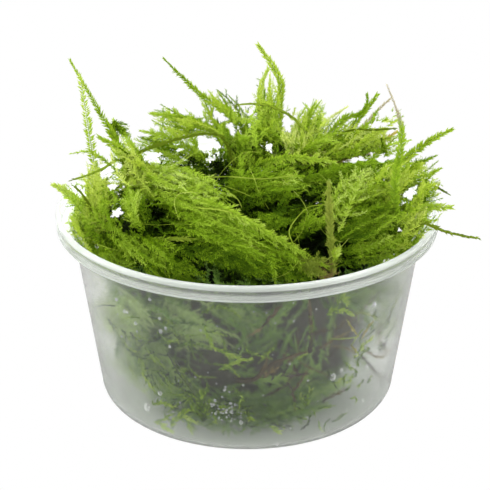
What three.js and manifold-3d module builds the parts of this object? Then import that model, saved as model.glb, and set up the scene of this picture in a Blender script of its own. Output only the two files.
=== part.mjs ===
// Java moss heaped in a round see-through plastic tub.
// Millimetres, +Z up, origin at the centre of the tub's base, the photographed side towards -Y.

import * as THREE from 'three';
import { mergeVertices } from 'three/addons/utils/BufferGeometryUtils.js';
import Module from 'manifold-3d';

const wasm = await Module();
wasm.setup();

// Driving dimensions of the tub
const tubHeight = 52.9;
const rimRadius = 50.5;
const rimHeight = 4.4;
const wallTopRadius = 46.4;
const footRadius = 40.1;
const cornerRadius = 4.3;
const wall = 0.8;
const beadSize = 0.35;
const tubSides = 48;

// Driving dimensions of the moss
const clearance = 0.35;
const heapRadius = 47.6;
const heapTop = 73.5;
const heapBottom = 1.5;
const frontLean = 8;
const frontLeanTop = 40;
const lumpHeight = 2.4;
const openRise = 7;
const heapSides = 28;
const [turnFrom, turnTo] = [-0.35, 0.7];
const tuftThickness = 2.6;
const tuftRoom = 1.2;
const lipRise = 5;
const leafThickness = 1.1;
const stemThickness = 0.9;
const shootStep = 4.4;
const tuftStep = 6.5;

// The heap's outline as radius and height, at the photographed side and, lower and looser, at the back
const frontOutline = [
  [0, heapBottom], [25, 3.8], [32.5, 9.5], [36.8, 17.5], [40.2, 28], [42.6, 38], [43.9, 46],
  [44.4, 49.6], [46.4, 51.6], [heapRadius, 54.5], [46, 59], [40.5, 63.5], [31, 68], [18, 71.5], [0, heapTop],
];
const backOutline = [
  [0, heapBottom], [24, 4.2], [31.5, 10.5], [36, 17.5], [39, 24], [40.6, 29.5], [41.3, 33.5],
  [41.7, 36.5], [41.9, 39], [41.4, 41.5], [40, 43.8], [36.5, 47], [30, 52.5], [18, 62], [0, heapTop],
];

// Dark hollows between the fronds: centre and half size
const hollows = {
  centreNotch: { centre: [-5.5, -7, 73.5], size: [6.5, 7, 9] },
  rightPit: { centre: [14.5, -42, 61], size: [4.5, 6, 5.5] },
  leftPit: { centre: [-24, -31, 66], size: [4.5, 5, 5] },
};

// Tufts over the back of the heap
const backTufts = {
  count: 16, length: 17, width: 5.5, reach: 42, rootDepth: 5, angles: [-0.35, 3.5], swing: 1.5,
};

// Colours
const plasticColour = 0xe9eeee;
const heapColour = 0x4f7516;
const leafColour = 0x93b62b;
const paleColour = 0xb4c86a;
const stemColour = 0x6d8a2a;
const oldColour = 0xa08a34;

// Shoots that stand out of the heap: name, width over the leaves, and the points of its run from root to tip.
// Those down to the brown one show from the front, and the others stand behind. Stems are bare and thin.
const shoots = [
  ['shoot_left_tall', 2.1, [-28.5, 3.4, 56.5], [-35, 6, 69], [-40, 6, 79], [-46, 6, 91]],
  ['shoot_left_feather', 2.6, [-38, -6, 53], [-40, -3, 66], [-41, -2, 74], [-43, 0, 89]],
  ['shoot_left_curl', 2.0, [-31.5, 9, 52.5], [-33.5, 8.5, 63.5], [-36, 9, 72], [-32.5, 9.5, 72]],
  ['shoot_left_branch', 2.4, [-24, -4, 61], [-29, -6, 68], [-38, -8, 75]],
  ['shoot_left_low', 2.8, [-41.5, 0, 50.5], [-45.9, 2, 53.2], [-48.6, 4, 55], [-51.6, 5, 56.4]],
  ['stem_left_upper', 1.1, [-28.5, -9.5, 64], [-32.5, -13, 70.6],
    [-36.5, -15, 69], [-40.8, -15, 67.1], [-44.9, -16, 66.2]],
  ['stem_left_lower', 1.1, [-38.5, -16, 55.9], [-40.1, -18, 60.2], [-42, -19, 64.1], [-44.1, -20, 66.8]],
  ['frond_left_broad', 4.2, [0, 6, 62], [-6, 6, 70], [-16, 5, 75], [-25, 4, 77]],
  ['frond_left_lower', 3.2, [-10, -5, 66], [-16, -7, 72], [-21, -8, 75], [-27, -9, 77]],
  ['stem_arch', 1.4, [-31, -17, 61.5], [-29, -14.5, 71.5],
    [-20.4, -14, 75.8], [-10.5, -12.5, 77.6], [-6, -11, 75.3], [-3, -8, 66]],
  ['shoot_middle_tall', 2.2, [2, 10.5, 59.5], [-2, 12, 71.5],
    [-8.3, 12, 76.5], [-13.3, 12, 80.3], [-22, 10, 90.2]],
  ['tip_middle_left', 1.6, [0.5, 15.5, 58], [-5, 16, 74], [-8, 16, 79]],
  ['tip_middle_right', 1.5, [2.5, 18.5, 56.5], [-1, 20, 71], [-5, 21, 76]],
  ['shoot_top', 2.4, [7.5, 18.5, 54.5], [9, 24, 74], [9, 25, 79], [6, 25, 84.5], [3, 25, 89]],
  ['shoot_top_side', 2.3, [4.5, 15, 59], [3.4, 16, 75.5], [3.6, 17.5, 79.5], [5.5, 19, 84.5]],
  ['stem_top_arch', 1.2, [19.5, -2, 64], [13.5, 7, 73], [7.5, 8, 77], [3, 8.5, 78], [-3, 8, 78]],
  ['tip_middle', 2.6, [11, 7.5, 58.5], [15, 10, 71], [18, 12, 77]],
  ['shoot_back_pale', 1.9, [8.5, 14.5, 57.5], [16, 22.5, 62.5], [21, 27, 66], [28, 32, 69]],
  ['shoot_fork_left', 2.3, [15, 10, 56.5], [25, 14, 71], [29.5, 15, 72.5], [32, 15.5, 75], [32, 16, 78]],
  ['shoot_fork_right', 2.0, [22, 14, 52], [28, 17, 67.5], [31, 18, 71.5], [33, 18.5, 74], [35, 19, 77]],
  ['shoot_right_tall', 2.4, [36.4, -26, 51.5], [36.4, -26.5, 62],
    [36.6, -25, 71], [38, -21.5, 82], [34.4, -16, 91.8]],
  ['shoot_right_pale', 1.8, [17, 18, 51.5], [24, 22, 58.5], [31, 26.5, 64], [37, 32, 68.5], [40.5, 34, 71]],
  ['stem_right_arch', 1.2, [16, 2, 63], [25, 3, 72], [33, 4, 72.5], [39, 5, 72.5]],
  ['frond_right_old', 3.6, [18.5, 3, 61], [27, 8, 63.5], [33.5, 10, 65], [40, 12, 69]],
  ['shoot_right_up', 2.0, [34, -4, 59], [40, -3, 66], [47, -1, 71], [53, 0, 74]],
  ['shoot_right_middle', 2.3, [35, -10, 59], [42, -8, 62], [50, -6, 65.5]],
  ['stem_right', 1.0, [36, -2, 54], [43.5, 1, 58], [48.5, 2, 58], [53.5, 2, 55]],
  ['shoot_right_thick', 3.0, [35, -17, 57], [43, -15, 58.5], [52, -14, 58]],
  ['tip_right_low', 1.4, [36, -22, 56], [43, -21, 57], [48, -20, 57]],
  ['stem_right_reach', 1.4, [39.5, -24, 53.5], [43.5, -25.5, 58.5],
    [46.6, -25.5, 57.6], [50.7, -24, 55.4], [58.7, -22, 52.8]],
  ['frond_centre', 4.0, [0, -9, 67], [10, -15, 72], [22, -18, 72]],
  ['frond_front_long', 3.6, [-17, -25, 66.5], [-4, -37, 66.5], [9, -43, 61], [19, -44.5, 55.5]],
  ['stem_front_arch', 1.2, [-24, -34, 58], [-12, -42, 61.5], [3, -44, 60], [8, -42, 55]],
  ['shoot_brown', 2.2, [20.9, -41, 51.5], [20.2, -40, 59], [19.8, -36, 66], [19.7, -32, 72]],
  ['shoot_back_1', 2.4, [-24, 17, 48.5], [-30, 25, 56.5], [-34, 31, 60.5], [-38, 38, 63]],
  ['shoot_back_2', 2.6, [-12, 22, 52], [-15, 31, 59], [-17, 39, 61.5], [-19, 49, 60]],
  ['shoot_back_3', 2.2, [-2, 23, 52.5], [-1, 33, 59], [1, 41, 62.5], [4, 51, 62]],
  ['shoot_back_4', 2.8, [9, 24, 51.5], [14, 32.5, 58], [19, 39.5, 60.5], [24, 48, 59]],
  ['shoot_back_5', 2.2, [26, 13, 50.5], [33.5, 19.5, 57], [39, 25, 60], [46, 32, 59]],
  ['shoot_back_6', 2.4, [-29, 14.5, 48.5], [-36.5, 17, 56.5], [-43, 20, 60], [-49, 24, 58]],
];

// Broad tufts fused to the heap: name, width, and the points of the run from root to tip. They lie as the
// photo shows them, over the front of the heap and, with wall_ names, against the inside of the wall.
const tufts = [
  ['left_shoulder', 6, [-22.5, -24, 64], [-27.5, -19, 70], [-33.5, -13, 73.5]],
  ['left_upright', 5, [-36.5, -24, 53.5], [-38, -17, 60], [-39.5, -10, 66.5]],
  ['left_edge', 4.5, [-39.5, -24, 53.5], [-42.5, -17, 56.5], [-45, -9, 58]],
  ['left_rim', 5, [-41, -21, 54], [-34.5, -31, 55.5], [-27.5, -37.5, 54.5]],
  ['left_front', 5, [-28.5, -34, 58.5], [-21.5, -40, 58], [-15.5, -43.5, 56]],
  ['sweep_top', 7, [-30, -8, 66], [-20.5, -20, 69.5], [-10, -32, 69]],
  ['sweep_middle', 7.5, [-25.5, -22, 65], [-13.5, -35, 66.5], [-2, -42, 65]],
  ['sweep_long', 7, [-20.5, -28, 64], [-8.5, -41, 64], [3.5, -45.5, 60]],
  ['sweep_end', 5.5, [0.5, -40, 62], [8.5, -45, 59.5], [17, -43.5, 56]],
  ['front_low', 5, [-12.5, -43, 57.5], [-2.5, -46, 57], [8, -45.5, 56]],
  ['centre_level', 5, [-10, -23, 67.5], [1, -27, 70], [12, -26, 69.5]],
  ['centre_down', 5.5, [17, -27, 65.5], [8.5, -36, 66], [0, -42, 64]],
  ['top_left', 8, [-2, -9, 64.5], [-2, -2, 72.5], [-2.5, 5, 79]],
  ['top_middle', 8, [4, -4, 64], [6, 4, 72], [8, 11, 78.5]],
  ['top_dense', 9, [11, -6, 63.5], [15, 2, 70], [19, 9, 75]],
  ['top_dense_side', 8, [14, 2, 61.5], [18.5, 7, 69], [22.5, 11, 74]],
  ['top_right', 7, [15.5, -6, 64.5], [21.5, 1, 69.5], [28, 7, 72.5]],
  ['fan_left_back', 5, [-6.5, 0, 67.5], [-15, 3, 72.5], [-24.5, 4, 75.5]],
  ['fan_left_low', 4.5, [-13, -6, 66.5], [-21.5, -6, 71], [-28, -6, 74]],
  ['fan_right_back', 5, [18, -1, 63.5], [28.5, 5, 70], [39.5, 9, 73.5]],
  ['fan_right_old', 5, [23, -4, 63.5], [31, 2, 67.5], [40.5, 5, 69.5]],
  ['tip_middle_wide', 5, [13.5, 1, 64], [16, 8, 71.5], [19, 12, 77]],
  ['top_side_fill', 4, [5.5, 5, 64], [5.5, 12, 73.5], [6, 18, 80.5]],
  ['right_ridge', 5, [13, -22, 68], [25, -17, 69.5], [37, -11, 70]],
  ['right_fan', 8, [19.5, -31, 63], [27.5, -25, 67], [36.5, -17, 70]],
  ['right_fan_low', 7, [22.5, -36, 60], [31.5, -30, 62.5], [41.5, -18, 62.5]],
  ['right_clump', 8, [30, -26, 62], [35, -22, 67], [40, -18, 70.5]],
  ['right_edge', 7, [34, -30, 56], [39, -26.5, 59.5], [44, -21, 61]],
  ['right_rim', 5, [24, -39, 56], [32.5, -33, 57], [41, -23, 56.5]],
  ['right_outer', 5, [37, -18, 59.5], [42.5, -15, 63], [47, -12, 65.5]],
  ['wall_left', 6, [-36, -11, 27], [-30.5, -26, 27.5], [-23.5, -31.5, 21.5]],
  ['wall_slant', 6.5, [-25, -26, 22], [-21, -32.5, 18], [-14, -35, 13]],
  ['wall_foot_left', 6, [-16, -28, 11], [-10, -34, 10.5], [-1, -35.5, 8.5]],
  ['wall_foot_right', 6, [0, -32, 8], [10, -34, 10.5], [19, -32, 12.5]],
  ['wall_right', 6, [38, -1, 29], [37, -13, 24], [31, -24, 21.5]],
  ['wall_right_low', 6, [29, -18, 19.5], [26.5, -27.5, 16], [18, -33, 13.5]],
];

const up = new THREE.Vector3(0, 0, 1);
const towardsFront = new THREE.Vector3(0, -0.91, 0.41);

// A closed mesh as a solid that can be joined and cut.
function solidFrom(geometry) {
  const bare = geometry.clone();
  bare.deleteAttribute('normal');
  bare.deleteAttribute('uv');
  const merged = mergeVertices(bare, 1e-4);
  const triangles = [];
  const index = merged.index.array;
  for (let i = 0; i < index.length; i += 3) {
    const [a, b, c] = [index[i], index[i + 1], index[i + 2]];
    if (a !== b && b !== c && c !== a) triangles.push(a, b, c);
  }
  const mesh = new wasm.Mesh({
    numProp: 3,
    vertProperties: new Float32Array(merged.attributes.position.array),
    triVerts: new Uint32Array(triangles),
  });
  return new wasm.Manifold(mesh);
}

function geometryFrom(solid) {
  const mesh = solid.getMesh();
  const geometry = new THREE.BufferGeometry();
  geometry.setAttribute('position', new THREE.BufferAttribute(mesh.vertProperties, 3));
  geometry.setIndex(new THREE.BufferAttribute(mesh.triVerts, 1));
  geometry.computeVertexNormals();
  return geometry;
}

// Points of a quarter bend about a centre, from one angle to another.
function bend(centreX, centreY, radius, from, to, steps) {
  const points = [];
  for (let i = 0; i <= steps; i++) {
    const angle = from + (to - from) * i / steps;
    points.push(new THREE.Vector2(centreX + radius * Math.cos(angle), centreY + radius * Math.sin(angle)));
  }
  return points;
}

// Outer radius of the tapered wall at a height.
function wallRadius(height) {
  const shoulder = tubHeight - rimHeight;
  const slope = (wallTopRadius - footRadius) / (shoulder - cornerRadius);
  return footRadius + slope * (height - cornerRadius);
}

// One wall of even thickness: flat base, rounded corner, tapered wall, lid seat and rim with two beads.
function makeTub() {
  const shoulder = tubHeight - rimHeight;
  const band = rimRadius - beadSize;
  const outside = [
    new THREE.Vector2(0, 0),
    ...bend(footRadius - cornerRadius, cornerRadius, cornerRadius, -Math.PI / 2, 0, 4),
    new THREE.Vector2(wallTopRadius, shoulder),
    new THREE.Vector2(band, shoulder),
    new THREE.Vector2(rimRadius, shoulder + beadSize),
    new THREE.Vector2(band, shoulder + 3 * beadSize),
    new THREE.Vector2(band, tubHeight - 3.2 * beadSize),
    new THREE.Vector2(rimRadius, tubHeight - 2 * beadSize),
    new THREE.Vector2(band, tubHeight),
  ];
  const innerCorner = cornerRadius - wall;
  const inside = [
    new THREE.Vector2(rimRadius - wall - beadSize, tubHeight),
    new THREE.Vector2(band - wall, tubHeight - 2 * beadSize),
    new THREE.Vector2(band - wall, shoulder + wall),
    new THREE.Vector2(wallTopRadius - wall, shoulder + wall),
    ...bend(footRadius - cornerRadius, cornerRadius, innerCorner, 0, -Math.PI / 2, 3),
    new THREE.Vector2(0, wall),
  ];
  const lathe = new THREE.LatheGeometry([...outside, ...inside], tubSides);
  lathe.rotateX(Math.PI / 2);
  return solidFrom(lathe);
}

// Largest radius that moss may reach at a height without touching the tub.
function freeRadius(height) {
  const shoulder = tubHeight - rimHeight;
  if (height > tubHeight + clearance) return Infinity;
  const inWall = wallRadius(THREE.MathUtils.clamp(height, cornerRadius, shoulder)) - wall - 2 * clearance;
  const inRim = rimRadius - beadSize - wall - 2 * clearance;
  return Math.min(inRim, inWall + Math.max(0, height - shoulder - wall - clearance));
}

// A frond of flattened leaves: a pointed strip with a saw edge, four-sided in section, along a curve.
function makeFrond({ points, width, thickness, facing, thin = false, step = shootStep }, grow = 0) {
  const curve = new THREE.CatmullRomCurve3(points.map((point) => new THREE.Vector3(...point)));
  const rings = THREE.MathUtils.clamp(Math.round(curve.getLength() / step), 4, 9);
  const cone = new THREE.ConeGeometry(1, 1, 4, rings);
  const position = cone.attributes.position;
  const vertex = new THREE.Vector3();
  for (let i = 0; i < position.count; i++) {
    vertex.fromBufferAttribute(position, i);
    const along = THREE.MathUtils.clamp(vertex.y + 0.5, 0, 1);
    const ring = Math.round(along * rings);
    const shrink = Math.max(1 - along, 1e-6);
    const tooth = thin || ring % 2 === 1 ? 1 : 0.6;
    const taper = Math.min(1, 0.45 + 1.4 * (1 - along));
    const halfWidth = ring === rings ? 0 : width / 2 * tooth * taper + grow;
    const halfThickness = ring === rings ? 0 : thickness / 2 * taper + grow;
    const centre = curve.getPointAt(along);
    const tangent = curve.getTangentAt(along);
    if (ring === rings) centre.addScaledVector(tangent, grow);
    if (ring === 0) centre.addScaledVector(tangent, -grow);
    const side = new THREE.Vector3().crossVectors(tangent, facing).normalize();
    const across = new THREE.Vector3().crossVectors(side, tangent).normalize();
    centre.addScaledVector(side, vertex.x / shrink * halfWidth);
    centre.addScaledVector(across, vertex.z / shrink * halfThickness);
    position.setXYZ(i, centre.x, centre.y, centre.z);
  }
  return solidFrom(cone);
}

// Height of the heap's lumps at a place, from -1 to 1.
function lump(x, y, z) {
  const broad = Math.sin(x * 0.21 + 1.3) * Math.cos(y * 0.24 - 0.6) + Math.sin(z * 0.27 + x * 0.11);
  const small = Math.sin(x * 0.52 - y * 0.37) * Math.cos(y * 0.49 + z * 0.41);
  return THREE.MathUtils.clamp(broad * 0.35 + small * 0.5, -1, 1);
}

// The heap's outline where y over radius has the given value: from the front one to the back one.
function heapOutline(aside) {
  const share = THREE.MathUtils.smoothstep(aside, turnFrom, turnTo);
  return frontOutline.map(([radius, height], i) => [
    THREE.MathUtils.lerp(radius, backOutline[i][0], share),
    THREE.MathUtils.lerp(height, backOutline[i][1], share),
  ]);
}

// Height of the heap's upper side over a place, without its lumps.
function heapHeight(x, y) {
  const radius = Math.hypot(x, y);
  const outline = heapOutline(y / Math.max(radius, 1e-6));
  for (let i = outline.length - 1; i > 0; i--) {
    const [innerRadius, innerHeight] = outline[i];
    const [outerRadius, outerHeight] = outline[i - 1];
    if (radius <= outerRadius) {
      return THREE.MathUtils.mapLinear(radius, innerRadius, outerRadius, innerHeight, outerHeight);
    }
  }
  return tubHeight;
}

// The tangled mass: it hangs in the tub with the bottom corners free, leans on the front wall low down,
// heaps up over the rim in front and falls off to the back.
function makeHeapCore() {
  const profile = frontOutline.map(([radius, height]) => new THREE.Vector2(radius, height));
  const lathe = new THREE.LatheGeometry(profile, heapSides);
  lathe.rotateX(Math.PI / 2);
  const position = lathe.attributes.position;
  for (let i = 0; i < position.count; i++) {
    const far = Math.hypot(position.getX(i), position.getY(i));
    const [turnX, turnY] = far < 1e-6 ? [0, 0] : [position.getX(i) / far, position.getY(i) / far];
    const [radius, z] = heapOutline(turnY)[i % profile.length];
    const lean = frontLean * (1 - THREE.MathUtils.clamp(z / frontLeanTop, 0, 1));
    const [x, y] = [turnX * radius, turnY * radius];
    const open = THREE.MathUtils.smoothstep(z, tubHeight, tubHeight + openRise);
    const height = lump(x, y, z) * lumpHeight;
    const spread = radius < 1 ? radius : radius + height * (1 - open * 0.5);
    const [leanX, leanY] = [turnX * spread, turnY * spread - lean];
    const scale = Math.min(1, freeRadius(z + open * height) / Math.max(Math.hypot(leanX, leanY), 1e-6));
    position.setXYZ(i, leanX * scale, leanY * scale, z + open * height);
  }
  let core = solidFrom(lathe);
  for (const { centre, size } of Object.values(hollows)) {
    const hollow = new THREE.SphereGeometry(1, 8, 6);
    hollow.scale(...size);
    hollow.translate(...centre);
    core = core.subtract(solidFrom(hollow));
  }
  return core;
}

// A run kept clear of the tub's wall and rim.
function keepClear(points, width) {
  return points.map(([x, y, z]) => {
    const overRim = z < tubHeight + lipRise ? heapRadius : rimRadius;
    const free = Math.min(freeRadius(z - width / 2) - tuftRoom, overRim);
    const scale = Math.min(1, free / Math.hypot(x, y));
    return [x * scale, y * scale, z];
  });
}

function makeTufts() {
  return tufts.map(([name, width, ...points]) => {
    const inTub = name.startsWith('wall_');
    const outwards = new THREE.Vector3(points[1][0], points[1][1], 0).normalize();
    const facing = inTub ? outwards : towardsFront;
    return makeFrond({
      points: keepClear(points, width), width, thickness: tuftThickness, facing, step: tuftStep,
    });
  });
}

// Short tufts over the back of the heap, leaning every way. The photo doesn't show them.
function makeBackTufts() {
  const { count, length: meanLength, width: meanWidth, reach, rootDepth, angles, swing } = backTufts;
  const goldenShare = 0.618034;
  const solids = [];
  for (let i = 0; i < count; i++) {
    const angle = THREE.MathUtils.lerp(...angles, (i * goldenShare) % 1);
    const away = reach * Math.sqrt(0.06 + 0.94 * (i + 0.5) / count);
    const heading = angle + swing * Math.sin(i * 2.1);
    const length = meanLength * (1 + 0.25 * Math.sin(i * 3.7));
    const width = meanWidth * (1 + 0.3 * Math.sin(i * 1.9));
    const [x, y] = [away * Math.cos(angle), away * Math.sin(angle)];
    const root = new THREE.Vector3(x, y, heapHeight(x, y) - rootDepth);
    const lean = new THREE.Vector3(Math.cos(heading), Math.sin(heading), 0);
    const tip = root.clone().addScaledVector(lean, length * 0.8);
    tip.z = Math.max(heapHeight(tip.x, tip.y), root.z) + length * (0.3 + 0.2 * Math.sin(i * 5.3));
    const middle = root.clone().lerp(tip, 0.5).addScaledVector(up, length * 0.15);
    const points = keepClear([root, middle, tip].map((point) => point.toArray()), width);
    const facing = new THREE.Vector3(Math.cos(angle), Math.sin(angle), 1).normalize();
    solids.push(makeFrond({ points, width, thickness: tuftThickness, facing, step: tuftStep }));
  }
  return solids;
}

// A shoot's form: its leaves lie flat towards the front, or outwards on the shoots behind.
function shootForm([name, width, ...points]) {
  const thin = name.startsWith('stem_');
  const outwards = new THREE.Vector3(points[0][0], points[0][1], 0).normalize().add(up).normalize();
  const facing = /^shoot_back_\d/.test(name) ? outwards : towardsFront;
  return { points, width, thickness: thin ? stemThickness : leafThickness, facing, thin };
}

function largestPiece(solid) {
  const pieces = solid.decompose();
  return pieces.reduce((best, piece) => (piece.volume() > best.volume() ? piece : best));
}

// Heap and tufts are one tangle, with a socket for each shoot and room for the tub.
function makeHeap() {
  let heap = makeHeapCore();
  for (const tuft of [...makeTufts(), ...makeBackTufts()]) heap = heap.add(tuft);
  for (const shoot of shoots) heap = heap.subtract(makeFrond(shootForm(shoot), clearance));
  return largestPiece(heap);
}

function makeMesh(name, solid, material) {
  const mesh = new THREE.Mesh(geometryFrom(solid), material);
  mesh.name = name;
  return mesh;
}

function mossMaterial(color) {
  return new THREE.MeshStandardMaterial({ color, roughness: 0.75, metalness: 0, flatShading: true });
}

const plastic = new THREE.MeshStandardMaterial({
  color: plasticColour,
  roughness: 0.25,
  metalness: 0,
  transparent: true,
  opacity: 0.35,
});

function shootColour(name) {
  if (name === 'shoot_brown' || name === 'frond_right_old') return oldColour;
  if (name.startsWith('stem_')) return stemColour;
  return name.endsWith('_pale') ? paleColour : leafColour;
}

const model = new THREE.Group();
model.add(makeMesh('tub', makeTub(), plastic));
model.add(makeMesh('moss_heap', makeHeap(), mossMaterial(heapColour)));
for (const shoot of shoots) {
  const [name] = shoot;
  model.add(makeMesh(name, makeFrond(shootForm(shoot)), mossMaterial(shootColour(name))));
}

export default model;
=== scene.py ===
import math

import bpy
import numpy as np
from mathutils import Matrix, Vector
from mathutils.bvhtree import BVHTree


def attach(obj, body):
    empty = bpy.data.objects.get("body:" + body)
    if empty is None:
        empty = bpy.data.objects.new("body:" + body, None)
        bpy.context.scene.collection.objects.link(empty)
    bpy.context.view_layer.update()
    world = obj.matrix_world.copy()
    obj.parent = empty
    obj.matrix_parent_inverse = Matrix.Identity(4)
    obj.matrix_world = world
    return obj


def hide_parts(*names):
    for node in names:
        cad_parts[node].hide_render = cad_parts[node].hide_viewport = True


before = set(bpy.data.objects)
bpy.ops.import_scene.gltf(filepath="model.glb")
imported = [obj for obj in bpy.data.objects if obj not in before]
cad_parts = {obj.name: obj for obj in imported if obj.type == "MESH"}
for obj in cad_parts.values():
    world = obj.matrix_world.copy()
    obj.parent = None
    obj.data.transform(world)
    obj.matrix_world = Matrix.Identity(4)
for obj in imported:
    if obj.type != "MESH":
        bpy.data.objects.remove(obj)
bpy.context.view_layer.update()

millimetre = 0.001

# Camera, fitted to the photo. Lengths in millimetres, angle in degrees.
view = {
    "distance": 443.6,
    "elevation": 24.3,
    "lens": 121.5,
    "sensor": 36.0,
    "aimX": -0.63,
    "aimZ": 41.1,
    "framePixels": 490,
}
elevation = math.radians(view["elevation"])
focalPixels = view["lens"] / view["sensor"] * view["framePixels"]
forwards = np.array([0.0, math.cos(elevation), -math.sin(elevation)])
upwards = np.array([0.0, math.sin(elevation), math.cos(elevation)])
rightwards = np.array([1.0, 0.0, 0.0])
aim = np.array([view["aimX"], 0.0, view["aimZ"]])
eye = aim - forwards * view["distance"]

cameraData = bpy.data.cameras.new("camera")
cameraData.lens = view["lens"]
cameraData.sensor_width = view["sensor"]
cameraData.clip_end = 20
camera = bpy.data.objects.new("camera", cameraData)
camera.location = eye * millimetre
camera.rotation_euler = (math.pi / 2 - elevation, 0, 0)
bpy.context.collection.objects.link(camera)
bpy.context.scene.camera = camera
print("camera set")


# Sight lines: from a pixel of the photo to a place on the object, and back
def sightLine(pixel):
    half = view["framePixels"] / 2
    line = (forwards + rightwards * (pixel[0] - half) / focalPixels
            - upwards * (pixel[1] - half) / focalPixels)
    return line / np.linalg.norm(line)


def atDepth(pixel, y):
    line = sightLine(pixel)
    return eye + line * (y - eye[1]) / line[1]


def toPixels(places):
    offset = places - eye
    away = offset @ forwards
    half = view["framePixels"] / 2
    return np.stack([half + focalPixels * (offset @ rightwards) / away,
                     half - focalPixels * (offset @ upwards) / away], axis=-1)


def unit(vectors):
    return vectors / np.maximum(np.linalg.norm(vectors, axis=-1, keepdims=True), 1e-9)


# Colours are written as sRGB hex and turned to linear here
def colour(hexValue, alpha=1.0):
    parts = [int(hexValue[i:i + 2], 16) / 255 for i in (1, 3, 5)]
    linear = [c / 12.92 if c <= 0.04045 else ((c + 0.055) / 1.055) ** 2.4 for c in parts]
    return (*linear, alpha)


def addNode(tree, kind, settings=None, links=None):
    node = tree.nodes.new(kind)
    for key, value in (settings or {}).items():
        if key == "stops":
            elements = node.color_ramp.elements
            elements.remove(elements[-1])
            for i, (position, shade) in enumerate(value):
                element = elements[0] if i == 0 else elements.new(position)
                element.position, element.color = position, shade
        elif isinstance(key, str) and hasattr(node, key):
            setattr(node, key, value)
        else:
            node.inputs[key].default_value = value
    for key, source in (links or {}).items():
        tree.links.new(source, node.inputs[key])
    return node


def newMaterial(name):
    material = bpy.data.materials.new(name)
    material.use_nodes = True
    material.node_tree.nodes.clear()
    return material, material.node_tree


# Moss leaf: living, one cell thick and wet, so it lets light through and glistens a little.
# The tone of each leaf runs from old and shaded to new growth at the tips.
leafFinish = {
    "roughness": 0.58,
    "ior": 1.34,
    "gloss": 0.16,
    "throughShare": 0.42,
    "throughTint": "#fffaa8",
    "toneSpread": 0.035,
    "patchSize": 6.0,
    "patchStrength": 0.16,
}
leafColours = {
    "young": ["#1b2c04", "#42600a", "#7b9d1c", "#a6c240", "#c9da7c"],
    "grown": ["#101b02", "#314906", "#658614", "#9db438", "#cbd87a"],
    # painted shade: a darker copy of the leaf colours, for moss deep in the tangle
    "shaded": ["#070d01", "#172603", "#344f07", "#5d7d16", "#8ca33a"],
    "pale": ["#7d9440", "#a3b85c", "#c0d07c", "#d6dfa4", "#e6ebc8"],
    "mauve": ["#6d6a5c", "#8f8c78", "#b0aa98", "#c8c2b4", "#dcd8cc"],
    "stem": ["#37470b", "#566b12", "#778c24", "#98ab40", "#b8c566"],
    "old": ["#5a5a12", "#85862a", "#a9a544", "#c6b868", "#dcc690"],
    "brown": ["#364210", "#5a6c1c", "#788a2e", "#98a446", "#b6bd6c"],
    # new growth and painted light: a lighter, yellower copy of the leaf colours for fronds at the top and
    # edges, where light comes through them from behind
    "bright": ["#38540a", "#75961d", "#a3be38", "#c0d35c", "#d8e390"],
    "twig": ["#221b0e", "#463a1e", "#716238", "#988a58", "#bcb088"],
    "fading": ["#2c4306", "#6f9418", "#9dbd38", "#b0ab98", "#c8c2b4"],
    # painted light: the milky plastic's haze painted into paler, greyer leaf colours, for moss inside the
    # tub
    "fogged": ["#222e12", "#446023", "#6e9340", "#9aba62", "#c0d692"],
}


def mossMaterial(name, colours, through=leafFinish["throughShare"]):
    material, tree = newMaterial(name)
    tone = addNode(tree, "ShaderNodeAttribute", {"attribute_name": "tone"})
    place = addNode(tree, "ShaderNodeNewGeometry")
    # patches a few millimetres wide, as growth isn't even
    patches = addNode(tree, "ShaderNodeTexNoise",
                      {"Scale": 1 / (leafFinish["patchSize"] * millimetre), "Detail": 2.0},
                      {"Vector": place.outputs["Position"]})
    shift = addNode(tree, "ShaderNodeMath",
                    {"operation": "MULTIPLY_ADD", 1: leafFinish["patchStrength"],
                     2: -leafFinish["patchStrength"] / 2},
                    {0: patches.outputs[0]})
    mixedTone = addNode(tree, "ShaderNodeMath", {"operation": "ADD"},
                        {0: tone.outputs["Fac"], 1: shift.outputs[0]})
    ramp = addNode(tree, "ShaderNodeValToRGB",
                   {"stops": [(0.25 * i, colour(value)) for i, value in enumerate(colours)]},
                   {"Fac": mixedTone.outputs[0]})
    leaf = addNode(tree, "ShaderNodeBsdfPrincipled",
                   {"Roughness": leafFinish["roughness"], "IOR": leafFinish["ior"],
                    "Specular IOR Level": leafFinish["gloss"]},
                   {"Base Color": ramp.outputs["Color"]})
    # light that comes through a leaf is yellower than the light off it
    warm = addNode(tree, "ShaderNodeMix", {"data_type": "RGBA", "blend_type": "MULTIPLY", 0: 1.0,
                                            7: colour(leafFinish["throughTint"])},
                   {6: ramp.outputs["Color"]})
    glow = addNode(tree, "ShaderNodeBsdfTranslucent", {}, {"Color": warm.outputs[2]})
    mix = addNode(tree, "ShaderNodeMixShader", {0: through},
                  {1: leaf.outputs[0], 2: glow.outputs[0]})
    addNode(tree, "ShaderNodeOutputMaterial", {}, {"Surface": mix.outputs[0]})
    return material


mossMaterials = {
    "young": mossMaterial("youngMossLeaf", leafColours["young"]),
    "grown": mossMaterial("grownMossLeaf", leafColours["grown"]),
    "bright": mossMaterial("newMossLeafWithPaintedLight", leafColours["bright"], 0.52),
    "shaded": mossMaterial("shadedMossLeaf", leafColours["shaded"], 0.35),
    "pale": mossMaterial("paleMossTip", leafColours["pale"], 0.5),
    "stem": mossMaterial("wetMossStem", leafColours["stem"], 0.12),
    "old": mossMaterial("agedMossLeaf", leafColours["old"], 0.4),
    "brown": mossMaterial("brownMossLeaf", leafColours["brown"], 0.25),
    "mauve": mossMaterial("fadedMossTip", leafColours["mauve"], 0.4),
    "twig": mossMaterial("brownMossStem", leafColours["twig"], 0.1),
    "fading": mossMaterial("mossLeafWithFadedTip", leafColours["fading"]),
    "fogged": mossMaterial("mossBehindMilkyPlastic", leafColours["fogged"]),
}
print("moss materials ready")

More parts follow.
